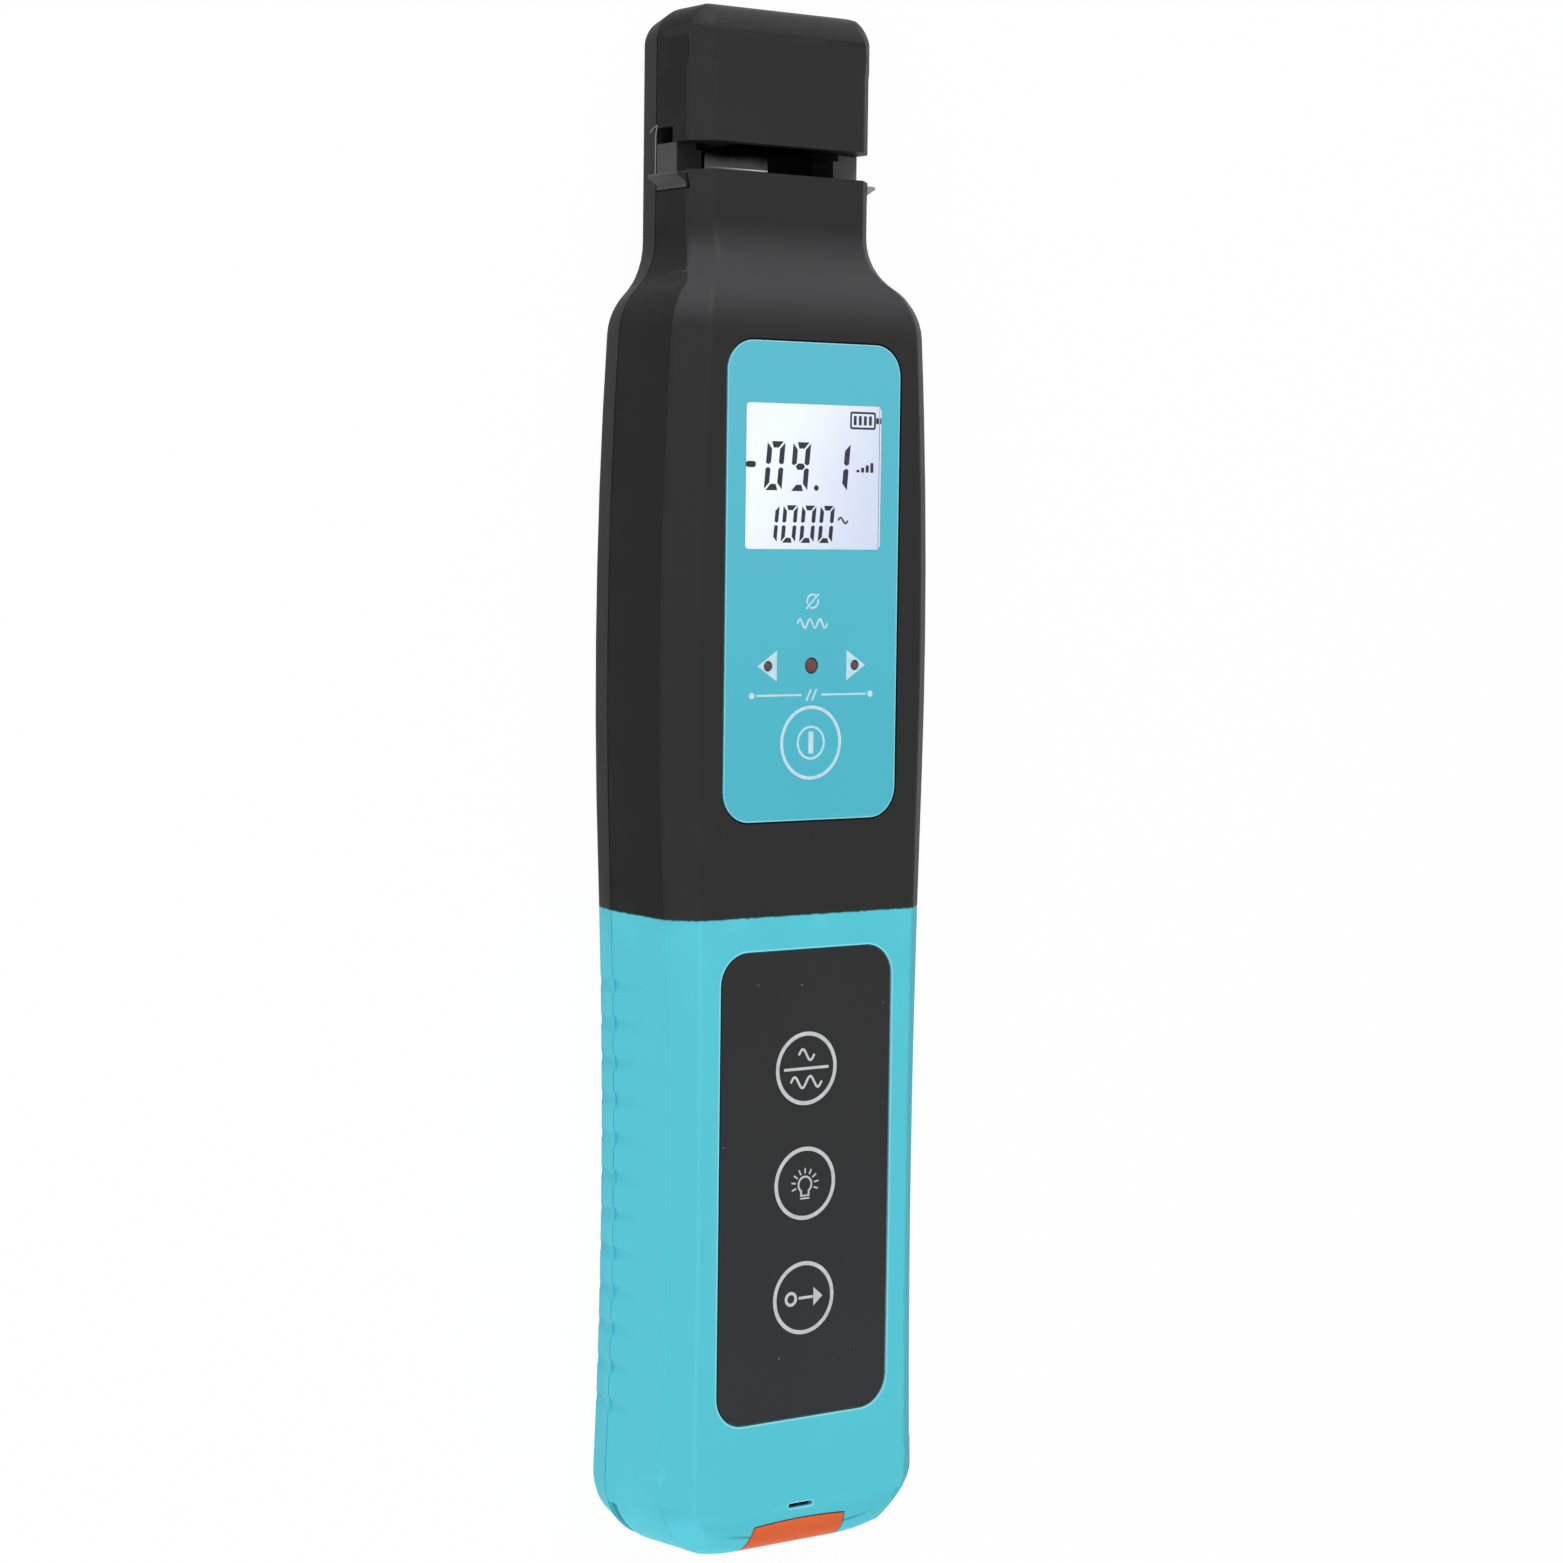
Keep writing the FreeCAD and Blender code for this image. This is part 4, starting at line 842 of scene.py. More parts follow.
class Shape:
    """Collects the faces of one piece, given in millimetres on the tool."""

    def __init__(self) -> None:
        """Start with no faces."""
        self.mesh = bmesh.new()

    def loop(self, outline: Outline, depth: float) -> list[bmesh.types.BMVert]:
        """Add an outline's points at a depth."""
        return [self.mesh.verts.new(place(*point, depth)) for point in outline]

    def walls(self, near: list[bmesh.types.BMVert], far: list[bmesh.types.BMVert]) -> None:
        """Join two loops of equally many points with faces."""
        for (first, second), (under, after) in zip(pairs(near), pairs(far)):
            self.mesh.faces.new((first, under, after, second))

    def fill(self, loops: Sequence[list[bmesh.types.BMVert]]) -> list[bmesh.types.BMFace]:
        """Fill the area between a loop and the holes in it, and give its faces."""
        edges = [self.mesh.edges.get(pair) or self.mesh.edges.new(pair)
                 for loop in loops for pair in pairs(loop)]
        filled = bmesh.ops.triangle_fill(self.mesh, use_beauty=True, edges=edges, normal=(0, 0, 1))
        return [item for item in filled["geom"] if isinstance(item, bmesh.types.BMFace)]

    def prism(self, outline: Outline, back: float, front: float, holes: Sequence[Outline] = ()) -> None:
        """Add a flat plate.

        Args:
            outline: Its outer outline.
            back: The depth of its back.
            front: The depth of its front.
            holes: The outlines of its holes.
        """
        loops = [self.loop(points, front) for points in (outline, *holes)]
        under = {vert: self.mesh.verts.new((*vert.co[:2], back * MM)) for loop in loops for vert in loop}
        tops = self.fill(loops) if holes else [self.mesh.faces.new(loops[0])]
        for top in tops:
            self.mesh.faces.new([under[vert] for vert in reversed(top.verts)])
        for loop in loops:
            self.walls([under[vert] for vert in loop], loop)

    def turned(self, x: float, height: float, profile: Sequence[Point], steps: int = 64) -> None:
        """Add a turned form about an axis out of the front.

        Args:
            x: The axis's place across the tool.
            height: The axis's height.
            profile: Pairs of radius and depth, from the front to the back.
            steps: How many sides it has.
        """
        rings = [self.loop(circle(x, height, radius, steps), depth) for radius, depth in profile]
        self.mesh.faces.new(rings[0])
        self.mesh.faces.new(rings[-1][::-1])
        for near, far in zip(rings, rings[1:]):
            self.walls(near, far)

    def finished(self, crease: float = 35.0, edge: float = 0.0) -> bpy.types.Mesh:
        """Close the shape and turn its faces outwards.

        Args:
            crease: The angle in degrees above which an edge stays sharp.
            edge: The width in millimetres of the rounding on sharp edges.

        Returns:
            The finished mesh.
        """
        bmesh.ops.recalc_face_normals(self.mesh, faces=self.mesh.faces)
        limit = math.radians(crease)
        sharp = [e for e in self.mesh.edges if len(e.link_faces) == 2 and e.calc_face_angle(0) > limit]
        if edge:
            bmesh.ops.bevel(self.mesh, geom=sharp, offset=edge * MM, segments=2, profile=0.5,
                            affect="EDGES", clamp_overlap=True)
        made = bpy.data.meshes.new("piece")
        self.mesh.to_mesh(made)
        self.mesh.free()
        made.set_sharp_from_angle(angle=limit)
        for face in made.polygons:
            face.use_smooth = abs(face.normal.z) < FACING_FRONT
        return made


def settle(name: str, mesh: bpy.types.Mesh, finish: Finish, nodes: Sequence[str] = (),
           body: Body = Body.HOUSING) -> bpy.types.Object:
    """Put a finished piece in the scene.

    Args:
        name: The piece's name.
        mesh: Its mesh.
        finish: Its finish.
        nodes: The CAD nodes that it stands for.
        body: The body that it rides on.

    Returns:
        The piece.
    """
    piece = bpy.data.objects.new(name, mesh)
    mesh.name = name
    mesh.materials.clear()
    mesh.materials.append(finish.material())
    bpy.context.scene.collection.objects.link(piece)
    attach(piece, body.value)
    if nodes:
        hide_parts(*nodes)
    log.info("%s: %d faces on %s", name, len(mesh.polygons), body.value)
    return piece


def joined(name: str, meshes: Sequence[bpy.types.Mesh]) -> bpy.types.Mesh:
    """Join meshes into one."""
    whole = bmesh.new()
    for mesh in meshes:
        whole.from_mesh(mesh)
    made = bpy.data.meshes.new(name)
    whole.to_mesh(made)
    whole.free()
    return made


def levelled(mesh: bpy.types.Mesh) -> bpy.types.Mesh:
    """Shade the flats as flats: the front, the flanks and the facets at half a right angle.

    Args:
        mesh: A smooth mesh with its own normals.

    Returns:
        The same mesh, with each corner that touches a flat turned to that flat.
    """
    slope = math.sqrt(0.5)
    ways = ((0, 0, 1), (1, 0, 0), (-1, 0, 0), (slope, 0, slope), (-slope, 0, slope))
    flats = [Vector(way) for way in ways]
    on_flat, near_flat, least_area = 0.99999, 0.94, 4 * MM * MM
    touched: dict[int, list[Vector]] = {}
    for face in mesh.polygons:
        for flat in flats:
            if face.normal.dot(flat) > on_flat and face.area > least_area:
                for vertex in face.vertices:
                    touched.setdefault(vertex, []).append(flat)
    normals = [Vector(corner.vector) for corner in mesh.corner_normals]
    for index, loop in enumerate(mesh.loops):
        for flat in touched.get(loop.vertex_index, ()):
            if normals[index].dot(flat) > near_flat:
                normals[index] = flat
    mesh.normals_split_custom_set(normals)
    return mesh


def baked(piece: bpy.types.Object) -> bpy.types.Mesh:
    """Turn an object with modifiers into a plain mesh, and remove the object."""
    bpy.context.scene.collection.objects.link(piece)
    bpy.context.view_layer.update()
    shown = piece.evaluated_get(bpy.context.evaluated_depsgraph_get())
    made = bpy.data.meshes.new_from_object(shown)
    bpy.data.objects.remove(piece)
    return made


class GeometryTree:
    """A Geometry Nodes tree that ends in Realize Instances and Set Material."""

    def __init__(self, name: str, inputs: dict[str, str]) -> None:
        """Start a tree.

        Args:
            name: The tree's name.
            inputs: The socket type of each named input.
        """
        self.tree = bpy.data.node_groups.new(name, "GeometryNodeTree")
        face = self.tree.interface
        face.new_socket("Geometry", in_out="INPUT", socket_type="NodeSocketGeometry")
        face.new_socket("Geometry", in_out="OUTPUT", socket_type="NodeSocketGeometry")
        wanted = {**inputs, "Material": "NodeSocketMaterial"}
        self.names = {}
        for key, kind in wanted.items():
            self.names[key] = face.new_socket(key, in_out="INPUT", socket_type=kind).identifier
        self.start = self.tree.nodes.new("NodeGroupInput")
        self.end = self.tree.nodes.new("NodeGroupOutput")

    def given(self, name: str) -> bpy.types.NodeSocket:
        """Give one of the tree's inputs."""
        return self.start.outputs[name]

    def node(self, kind: str, settings: Optional[dict] = None, inputs: Optional[dict] = None,
             output: Any = 0) -> bpy.types.NodeSocket:
        """Add a node with its settings, and values or links for its sockets, and give one output."""
        made = self.tree.nodes.new(kind)
        for key, value in (settings or {}).items():
            setattr(made, key, value)
        for key, value in (inputs or {}).items():
            if isinstance(value, bpy.types.NodeSocket):
                self.tree.links.new(value, made.inputs[key])
            else:
                made.inputs[key].default_value = value
        return made.outputs[output]

    def tube(self, curve: bpy.types.NodeSocket, sides: int) -> bpy.types.NodeSocket:
        """Give a round wire along a curve, as thick as the input Wire says."""
        round_wire = {"Resolution": sides, "Radius": self.given("Wire")}
        ring = self.node("GeometryNodeCurvePrimitiveCircle", inputs=round_wire)
        along = {"Curve": curve, "Profile Curve": ring, "Fill Caps": True}
        return self.node("GeometryNodeCurveToMesh", inputs=along)

    def close(self, geometry: bpy.types.NodeSocket) -> None:
        """Realize the instances, set the material and end the tree."""
        real = self.node("GeometryNodeRealizeInstances", inputs={0: geometry})
        dressed = self.node("GeometryNodeSetMaterial",
                            inputs={"Geometry": real, "Material": self.given("Material")})
        self.tree.links.new(dressed, self.end.inputs[0])

    def mesh(self, base: bpy.types.Mesh, values: dict[str, Any]) -> bpy.types.Mesh:
        """Run the tree.

        Args:
            base: The mesh that the tree starts from.
            values: The value of each named input.

        Returns:
            The result as a plain mesh.
        """
        holder = bpy.data.objects.new("holder", base)
        modifier = holder.modifiers.new("tree", "NODES")
        modifier.node_group = self.tree
        for key, value in values.items():
            modifier[self.names[key]] = value
        return baked(holder)


def coil_tree() -> GeometryTree:
    """Give the tree that winds a wire along the tool."""
    tree = GeometryTree("coil_along_tool", {
        "Turns": "NodeSocketFloat", "Radius": "NodeSocketFloat", "Length": "NodeSocketFloat",
        "Wire": "NodeSocketFloat", "Start": "NodeSocketVector",
    })
    radius = tree.given("Radius")
    spiral = tree.node("GeometryNodeCurveSpiral", inputs={
        "Resolution": 40, "Rotations": tree.given("Turns"), "Start Radius": radius,
        "End Radius": radius, "Height": tree.given("Length"),
    })
    stood = tree.node("GeometryNodeTransform", inputs={
        "Geometry": tree.tube(spiral, 12), "Translation": tree.given("Start"),
        "Rotation": (-math.pi / 2, 0.0, 0.0),
    })
    tree.close(stood)
    return tree


def wire_tree() -> GeometryTree:
    """Give the tree that runs a round wire along the given edges."""
    tree = GeometryTree("wire_on_path", {"Wire": "NodeSocketFloat", "Steps": "NodeSocketInt"})
    path = tree.node("GeometryNodeMeshToCurve", inputs={"Mesh": tree.given("Geometry")})
    smooth = tree.node("GeometryNodeCurveSplineType", {"spline_type": "NURBS"}, {"Curve": path})
    spaced = {"Curve": smooth, "Count": tree.given("Steps")}
    tree.close(tree.tube(tree.node("GeometryNodeResampleCurve", inputs=spaced), 10))
    return tree


def spread_tree() -> GeometryTree:
    """Give the tree that sets one shape on each given point."""
    tree = GeometryTree("shape_on_points", {"Shape": "NodeSocketObject"})
    shape = tree.node("GeometryNodeObjectInfo", inputs={"Object": tree.given("Shape")}, output="Geometry")
    placed = {"Points": tree.given("Geometry"), "Instance": shape}
    tree.close(tree.node("GeometryNodeInstanceOnPoints", inputs=placed))
    return tree


def row_tree() -> GeometryTree:
    """Give the tree that sets a row of bars at an even pitch."""
    tree = GeometryTree("row_of_bars", {
        "Count": "NodeSocketInt", "Start": "NodeSocketVector", "Pitch": "NodeSocketVector",
        "Size": "NodeSocketVector",
    })
    line = tree.node("GeometryNodeMeshLine", {"mode": "OFFSET"}, {
        "Count": tree.given("Count"), "Start Location": tree.given("Start"), "Offset": tree.given("Pitch"),
    })
    block = tree.node("GeometryNodeMeshCube", inputs={"Size": tree.given("Size")})
    tree.close(tree.node("GeometryNodeInstanceOnPoints", inputs={"Points": line, "Instance": block}))
    return tree


class Edges(Enum):
    """Which edges of a CAD copy are rounded."""

    NONE = "none"
    OUTER = "outer"
    ALL = "all"


def rise(value: float, start: float, end: float) -> float:
    """Give 0 at start, 1 at end, and a smooth rise between them."""
    share = min(max((value - start) / (end - start), 0.0), 1.0)
    return share * share * (3 - 2 * share)


def faces_under(mesh: bmesh.types.BMesh, height: float) -> list[bmesh.types.BMFace]:
    """Give a mesh's faces that lie whole under a height."""
    return [face for face in mesh.faces if max(height_of(vert.co) for vert in face.verts) < height + NEAR]


def cut(mesh: bmesh.types.BMesh, point: Vector, way: Vector, below: float = 300.0) -> None:
    """Add the edges in which a plane meets a mesh.

    Args:
        mesh: The mesh.
        point: A point on the plane.
        way: The plane's normal.
        below: The height under which the faces are cut.
    """
    parts = {item for face in faces_under(mesh, below) for item in (face, *face.edges, *face.verts)}
    bmesh.ops.bisect_plane(mesh, geom=list(parts), dist=PLANE_GAP, plane_co=point, plane_no=way)


@dataclass
class Easing:
    """The lift of the case's lower front corners, which turn in more than the CAD form does."""

    top: float
    lift: float = 1.5
    rows: int = 9
    columns: Sequence[float] = (8.5, 10.5, 12.5, 14.5, 16.0, 17.5)
    across: Point = (8.5, 19.0)
    depths: Point = (7.5, 19.0)

    def apply(self, mesh: bmesh.types.BMesh) -> None:
        """Lift the corners of a copy that has edges at the height where the lift starts."""
        bmesh.ops.triangulate(mesh, faces=faces_under(mesh, self.top))
        for row in range(1, self.rows):
            cut(mesh, place(0, self.top * row / self.rows, 0), Vector((0, 1, 0)), self.top)
        for x in self.columns:
            for side in (-1, 1):
                cut(mesh, place(side * x, 0, 0), Vector((1, 0, 0)), self.top)
        for vert in mesh.verts:
            share = rise(abs(vert.co.x) / MM, *self.across) * rise(vert.co.z / MM, *self.depths)
            vert.co.y += share * rise(height_of(vert.co), self.top, 0.0) * self.lift * MM


@dataclass
class SoftCopy:
    """A merged copy of a CAD node with smooth shading and rounded edges."""

    node: str
    finish: Finish
    slot: Slot
    body: Body = Body.HOUSING
    edges: Edges = Edges.NONE
    width: float = 0.2
    crease: float = 24.0
    end_crease: float = 50.0
    ends: Point = (9.5, 191.0)
    round_from: Point = (10.0, 8.0)
    round_span: Point = (12.0, 188.5)
    least_angle: float = 12.0
    flat_angle: float = 0.3
    least_out: float = 0.1
    least_along: float = 0.75
    eased: bool = False

    def rounded(self, edge: bmesh.types.BMEdge) -> bool:
        """Say whether an edge between two faces is rounded."""
        angle = math.degrees(edge.calc_face_angle(0))
        if self.edges is Edges.NONE or not edge.is_convex or angle < self.least_angle:
            return False
        if self.edges is Edges.ALL:
            return angle > self.crease
        ends = [vert.co / MM for vert in edge.verts]
        middle = (ends[0] + ends[1]) / 2
        along = (ends[1] - ends[0]).normalized()
        outward = edge.link_faces[0].normal + edge.link_faces[1].normal
        outside = outward.x * middle.x > 0 and outward.z > self.least_out
        low, high = self.round_span
        inside = all(low - NEAR < end.y + HALF_LENGTH < high + NEAR for end in ends)
        on_case = abs(middle.x) > self.round_from[0] and middle.z > self.round_from[1]
        return outside and inside and on_case and abs(along.y) > self.least_along

    def limit(self, edge: bmesh.types.BMEdge) -> float:
        """Give the angle above which an edge is sharp, larger where the case's ends turn."""
        height = height_of((edge.verts[0].co + edge.verts[1].co) / 2)
        at_end = self.edges is Edges.OUTER and not self.ends[0] < height < self.ends[1]
        return self.end_crease if at_end else self.crease

    def mesh(self) -> bpy.types.Mesh:
        """Give the copy as a plain mesh."""
        copy = bmesh.new()
        copy.from_mesh(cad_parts[self.node].data)
        bmesh.ops.remove_doubles(copy, verts=copy.verts, dist=MERGE_GAP)
        bmesh.ops.dissolve_limit(copy, angle_limit=math.radians(self.flat_angle), verts=copy.verts,
                                 edges=copy.edges)
        if self.edges is Edges.OUTER:
            for height in self.round_span:
                cut(copy, place(0, height, 0), Vector((0, 1, 0)))
        if self.eased:
            Easing(self.round_span[0]).apply(copy)
        layer = copy.edges.layers.float.new("bevel_weight_edge")
        for edge in copy.edges:
            if len(edge.link_faces) == 2:
                chosen = self.rounded(edge)
                edge[layer] = float(chosen)
                edge.smooth = chosen or math.degrees(edge.calc_face_angle(0)) < self.limit(edge)
        for face in copy.faces:
            face.smooth = True
        made = bpy.data.meshes.new(self.node + "_copy")
        copy.to_mesh(made)
        copy.free()
        holder = bpy.data.objects.new("holder", made)
        if self.edges is not Edges.NONE:
            bevel = holder.modifiers.new("rounding", "BEVEL")
            bevel.limit_method = "WEIGHT"
            bevel.width = self.width * MM
            bevel.segments = 3
            bevel.use_clamp_overlap = self.edges is Edges.ALL
        even = holder.modifiers.new("even", "WEIGHTED_NORMAL")
        even.keep_sharp = True
        even.weight = 100
        return levelled(baked(holder))

    def build(self) -> bpy.types.Object:
        """Put the copy in the scene in place of its node."""
        return settle(self.node + "_soft", self.mesh(), self.finish, [self.node], self.body)


@dataclass
class Case:
    """The two halves of the case, the head and the grip."""

    crease_round: float = 0.45
    guide_round: float = 0.22

    def build(self) -> None:
        """Build the case's pieces."""
        outer = {"edges": Edges.OUTER, "width": self.crease_round}
        copies = [
            SoftCopy("front_shell", BLACK_PLASTIC, Slot.BLACK_PLASTIC, eased=True, **outer),
            SoftCopy("front_grip", BLUE_GRIP, Slot.BLUE_GRIP, crease=38.0, eased=True, **outer),
            SoftCopy("head_cap", HEAD_PLASTIC, Slot.BLACK_PLASTIC, **outer),
            SoftCopy("rear_shell", BLACK_PLASTIC, Slot.BLACK_PLASTIC, crease=30.0),
            SoftCopy("rear_grip", BLUE_GRIP, Slot.BLUE_GRIP, crease=38.0),
            SoftCopy("fibre_guide", GUIDE_PLASTIC, Slot.BLACK_PLASTIC, edges=Edges.ALL,
                     width=self.guide_round, crease=72.0),
        ]
        for copy in copies:
            copy.build()


@dataclass
class MovingParts:
    """The clamp with its slide, the port cap and the battery cover."""

    small_round: float = 0.25

    def build(self) -> None:
        """Build the moving pieces."""
        every = {"edges": Edges.ALL, "width": self.small_round}
        copies = [
            SoftCopy("clamp_trigger", DARK_PLASTIC, Slot.BLACK_PLASTIC, Body.CLAMP, **every),
            SoftCopy("clamp_piston", DARK_PLASTIC, Slot.BLACK_PLASTIC, Body.CLAMP, **every),
            SoftCopy("port_cap", ORANGE_CAP, Slot.ORANGE_CAP, Body.PORT_CAP, **every),
            SoftCopy("battery_cover", COVER_PLASTIC, Slot.BLUE_GRIP, Body.COVER, **every),
        ]
        for copy in copies:
            copy.build()


@dataclass
class Inside:
    """What the case holds, dressed on the CAD nodes or on smooth copies of them."""

    def build(self) -> None:
        """Dress the inner nodes and copy the round ones."""
        round_ones = {
            "bend_anvil": (DULL_STEEL, Slot.BRIGHT_STEEL), "ferrule_sleeve": (CERAMIC, Slot.CERAMIC),
            "laser_housing": (BRASS, Slot.BRASS), "port_cap_pin": (STEEL, Slot.BRIGHT_STEEL),
            "left_cell": (CELL, Slot.CELL_JACKET), "right_cell": (CELL, Slot.CELL_JACKET),
            "left_photodiode": (BRASS, Slot.BRASS), "right_photodiode": (BRASS, Slot.BRASS),
            "sounder": (SWITCH_PLASTIC, Slot.BLACK_SWITCH),
        }
        for node, (finish, slot) in round_ones.items():
            SoftCopy(node, finish, slot).build()
        flat_ones = {
            "display_backlight": WHITE_PLASTIC, "main_board": BOARD, "sensor_board": BOARD,
            "contact_plates": STEEL,
        }
        for key in ("power", "unit", "light", "laser"):
            flat_ones[key + "_switch"] = SWITCH_PLASTIC
            flat_ones[key + "_plunger"] = WHITE_PLASTIC
        for node, finish in flat_ones.items():
            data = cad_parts[node].data
            data.materials.clear()
            data.materials.append(finish.material())
            log.info("%s: dressed", node)


@dataclass
class Springs:
    """The clamp spring and the two contact springs, wound from round wire."""

    clamp_turns: float = 6.0
    contact_turns: float = 3.0
    wire: float = 0.35
    clamp_keep: float = 0.655

    def coil(self, tree: GeometryTree, low: Vector, high: Vector, turns: float) -> bpy.types.Mesh:
        """Wind one spring inside a box.

        Args:
            tree: The coil tree.
            low: The box's lowest corner.
            high: The box's highest corner.
            turns: How many turns it has.

        Returns:
            The spring's mesh.
        """
        wire = self.wire * MM
        middle = (low + high) / 2
        return tree.mesh(bpy.data.meshes.new("start"), {
            "Turns": turns, "Radius": (high.x - low.x) / 2 - wire, "Length": high.y - low.y - 2 * wire,
            "Wire": wire, "Start": (middle.x, low.y + wire, middle.z), "Material": STEEL.material(),
        })

    def build(self) -> None:
        """Build the springs."""
        tree = coil_tree()
        low, high = [Vector(corner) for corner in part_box("clamp_spring")]
        mesh = self.coil(tree, low, high, self.clamp_turns)
        clamp = settle("clamp_spring_wire", mesh, STEEL, ["clamp_spring"])
        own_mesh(clamp)
        low, high = [Vector(corner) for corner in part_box("contact_springs")]
        size = high.z - low.z
        coils = []
        for start in (low.x, high.x - size):
            far = Vector((start + size, high.y, high.z))
            coils.append(self.coil(tree, Vector((start, low.y, low.z)), far, self.contact_turns))
        mesh = joined("contact_springs", coils)
        settle("contact_springs_wire", mesh, STEEL, ["contact_springs"])


@dataclass
class EdgeHighlightWire:
    """A thin hooked steel wire beside the left post of the fibre guide, standing for the highlight along the
    rear shell's edge there.
    """

    x: float = -13.84
    path: Sequence[Point] = (
        (174.3, 6.0), (176.5, 6.0), (178.6, 6.0), (180.3, 6.0), (180.95, 6.4), (181.15, 6.6), (181.0, 5.7),
        (180.4, 4.7),
    )
    wire: float = 0.1
    steps: int = 60

    def build(self) -> None:
        """Build the wire."""
        points = [place(self.x, *point) for point in self.path]
        base = bpy.data.meshes.new("path")
        base.from_pydata(points, [(index, index + 1) for index in range(len(points) - 1)], [])
        sizes = {"Wire": self.wire * MM, "Steps": self.steps, "Material": EDGE_HIGHLIGHT_STEEL.material()}
        settle("guide_wire", wire_tree().mesh(base, sizes), EDGE_HIGHLIGHT_STEEL)


@dataclass
class ScrewSet:
    """A set of alike pan-head screws with a cross recess."""

    node: str
    places: Sequence[Point]
    seat: float
    head_radius: float
    head: float
    radius: float
    length: float
    direction: int = 1
    recess: float = 0.55
    recess_half: float = 0.22
    recess_taper: float = 0.7
    point: float = 0.7
    steps: int = 40

    def shape(self) -> bpy.types.Mesh:
        """Give one screw at the origin, with its head's face at depth 0."""
        shape = Shape()
        arm, half = self.head_radius * self.recess, self.recess_half
        corner, cross = [(half, half), (half, arm), (-half, arm)], []
        for _ in range(4):
            cross += corner
            corner = [(-y, x) for x, y in corner]
        end = self.head + self.length
        profile = [
            (self.head_radius * 0.72, 0.0), (self.head_radius * 0.92, self.head * 0.12),
            (self.head_radius, self.head * 0.4), (self.head_radius, self.head), (self.radius, self.head),
            (self.radius, end - self.point), (self.radius * 0.35, end),
        ]
        rings = [shape.loop(circle(0, HALF_LENGTH, radius, self.steps), self.direction * depth)
                 for radius, depth in profile]
        for near, far in zip(rings, rings[1:]):
            shape.walls(near, far)
        shape.mesh.faces.new(rings[-1])
        top, floor = [
            shape.loop([(x * share, HALF_LENGTH + y * share) for x, y in cross], self.direction * depth)
            for share, depth in ((1.0, 0.0), (self.recess_taper, self.head / 2))
        ]
        shape.fill([rings[0], top])
        shape.walls(floor, top)
        shape.mesh.faces.new(floor)
        return shape.finished()


@dataclass
class Screws:
    """All the screws: case, head, board and anvil."""

    case_places: Sequence[Point] = ((14.3, 12.6), (14.3, 88.0), (13.8, 152.4))
    head_place: Point = (7.6, 189.7)
    board_places: Sequence[Point] = ((13.2, 26.0), (13.2, 78.0), (13.2, 120.0))
    anvil_place: Point = (2.8, 186.15)

    @staticmethod
    def both(places: Sequence[Point]) -> list[Point]:
        """Give places on both sides."""
        return [(side * x, height) for x, height in places for side in (-1, 1)]

    def sets(self) -> list[ScrewSet]:
        """Give the screws' sets."""
        case = {"seat": 0.5, "head_radius": 2.0, "head": 1.5, "radius": 1.2}
        small = {"head_radius": 1.6, "head": 1.0, "radius": 0.9}
        return [
            ScrewSet("case_screws", self.both(self.case_places), length=11.0, **case),
            ScrewSet("case_screws", self.both([self.head_place]), length=9.0, **case),
            ScrewSet("board_screws", self.both(self.board_places), seat=13.0, length=4.0, **small),
            ScrewSet("anvil_screws", self.both([self.anvil_place]), seat=4.6, length=1.4, direction=-1,
                     **small),
        ]

    def build(self) -> None:
        """Build one piece for each group of screws."""
        tree = spread_tree()
        groups: dict[str, list[bpy.types.Mesh]] = {}
        for screws in self.sets():
            points = bpy.data.meshes.new("places")
            points.from_pydata([place(*p, screws.seat) for p in screws.places], [], [])
            screw = bpy.data.objects.new("one_screw", screws.shape())
            mesh = tree.mesh(points, {"Shape": screw, "Material": ZINC.material()})
            bpy.data.objects.remove(screw)
            groups.setdefault(screws.node, []).append(mesh)
        for node, meshes in groups.items():
            settle(node + "_cross", joined(node, meshes), ZINC, [node])


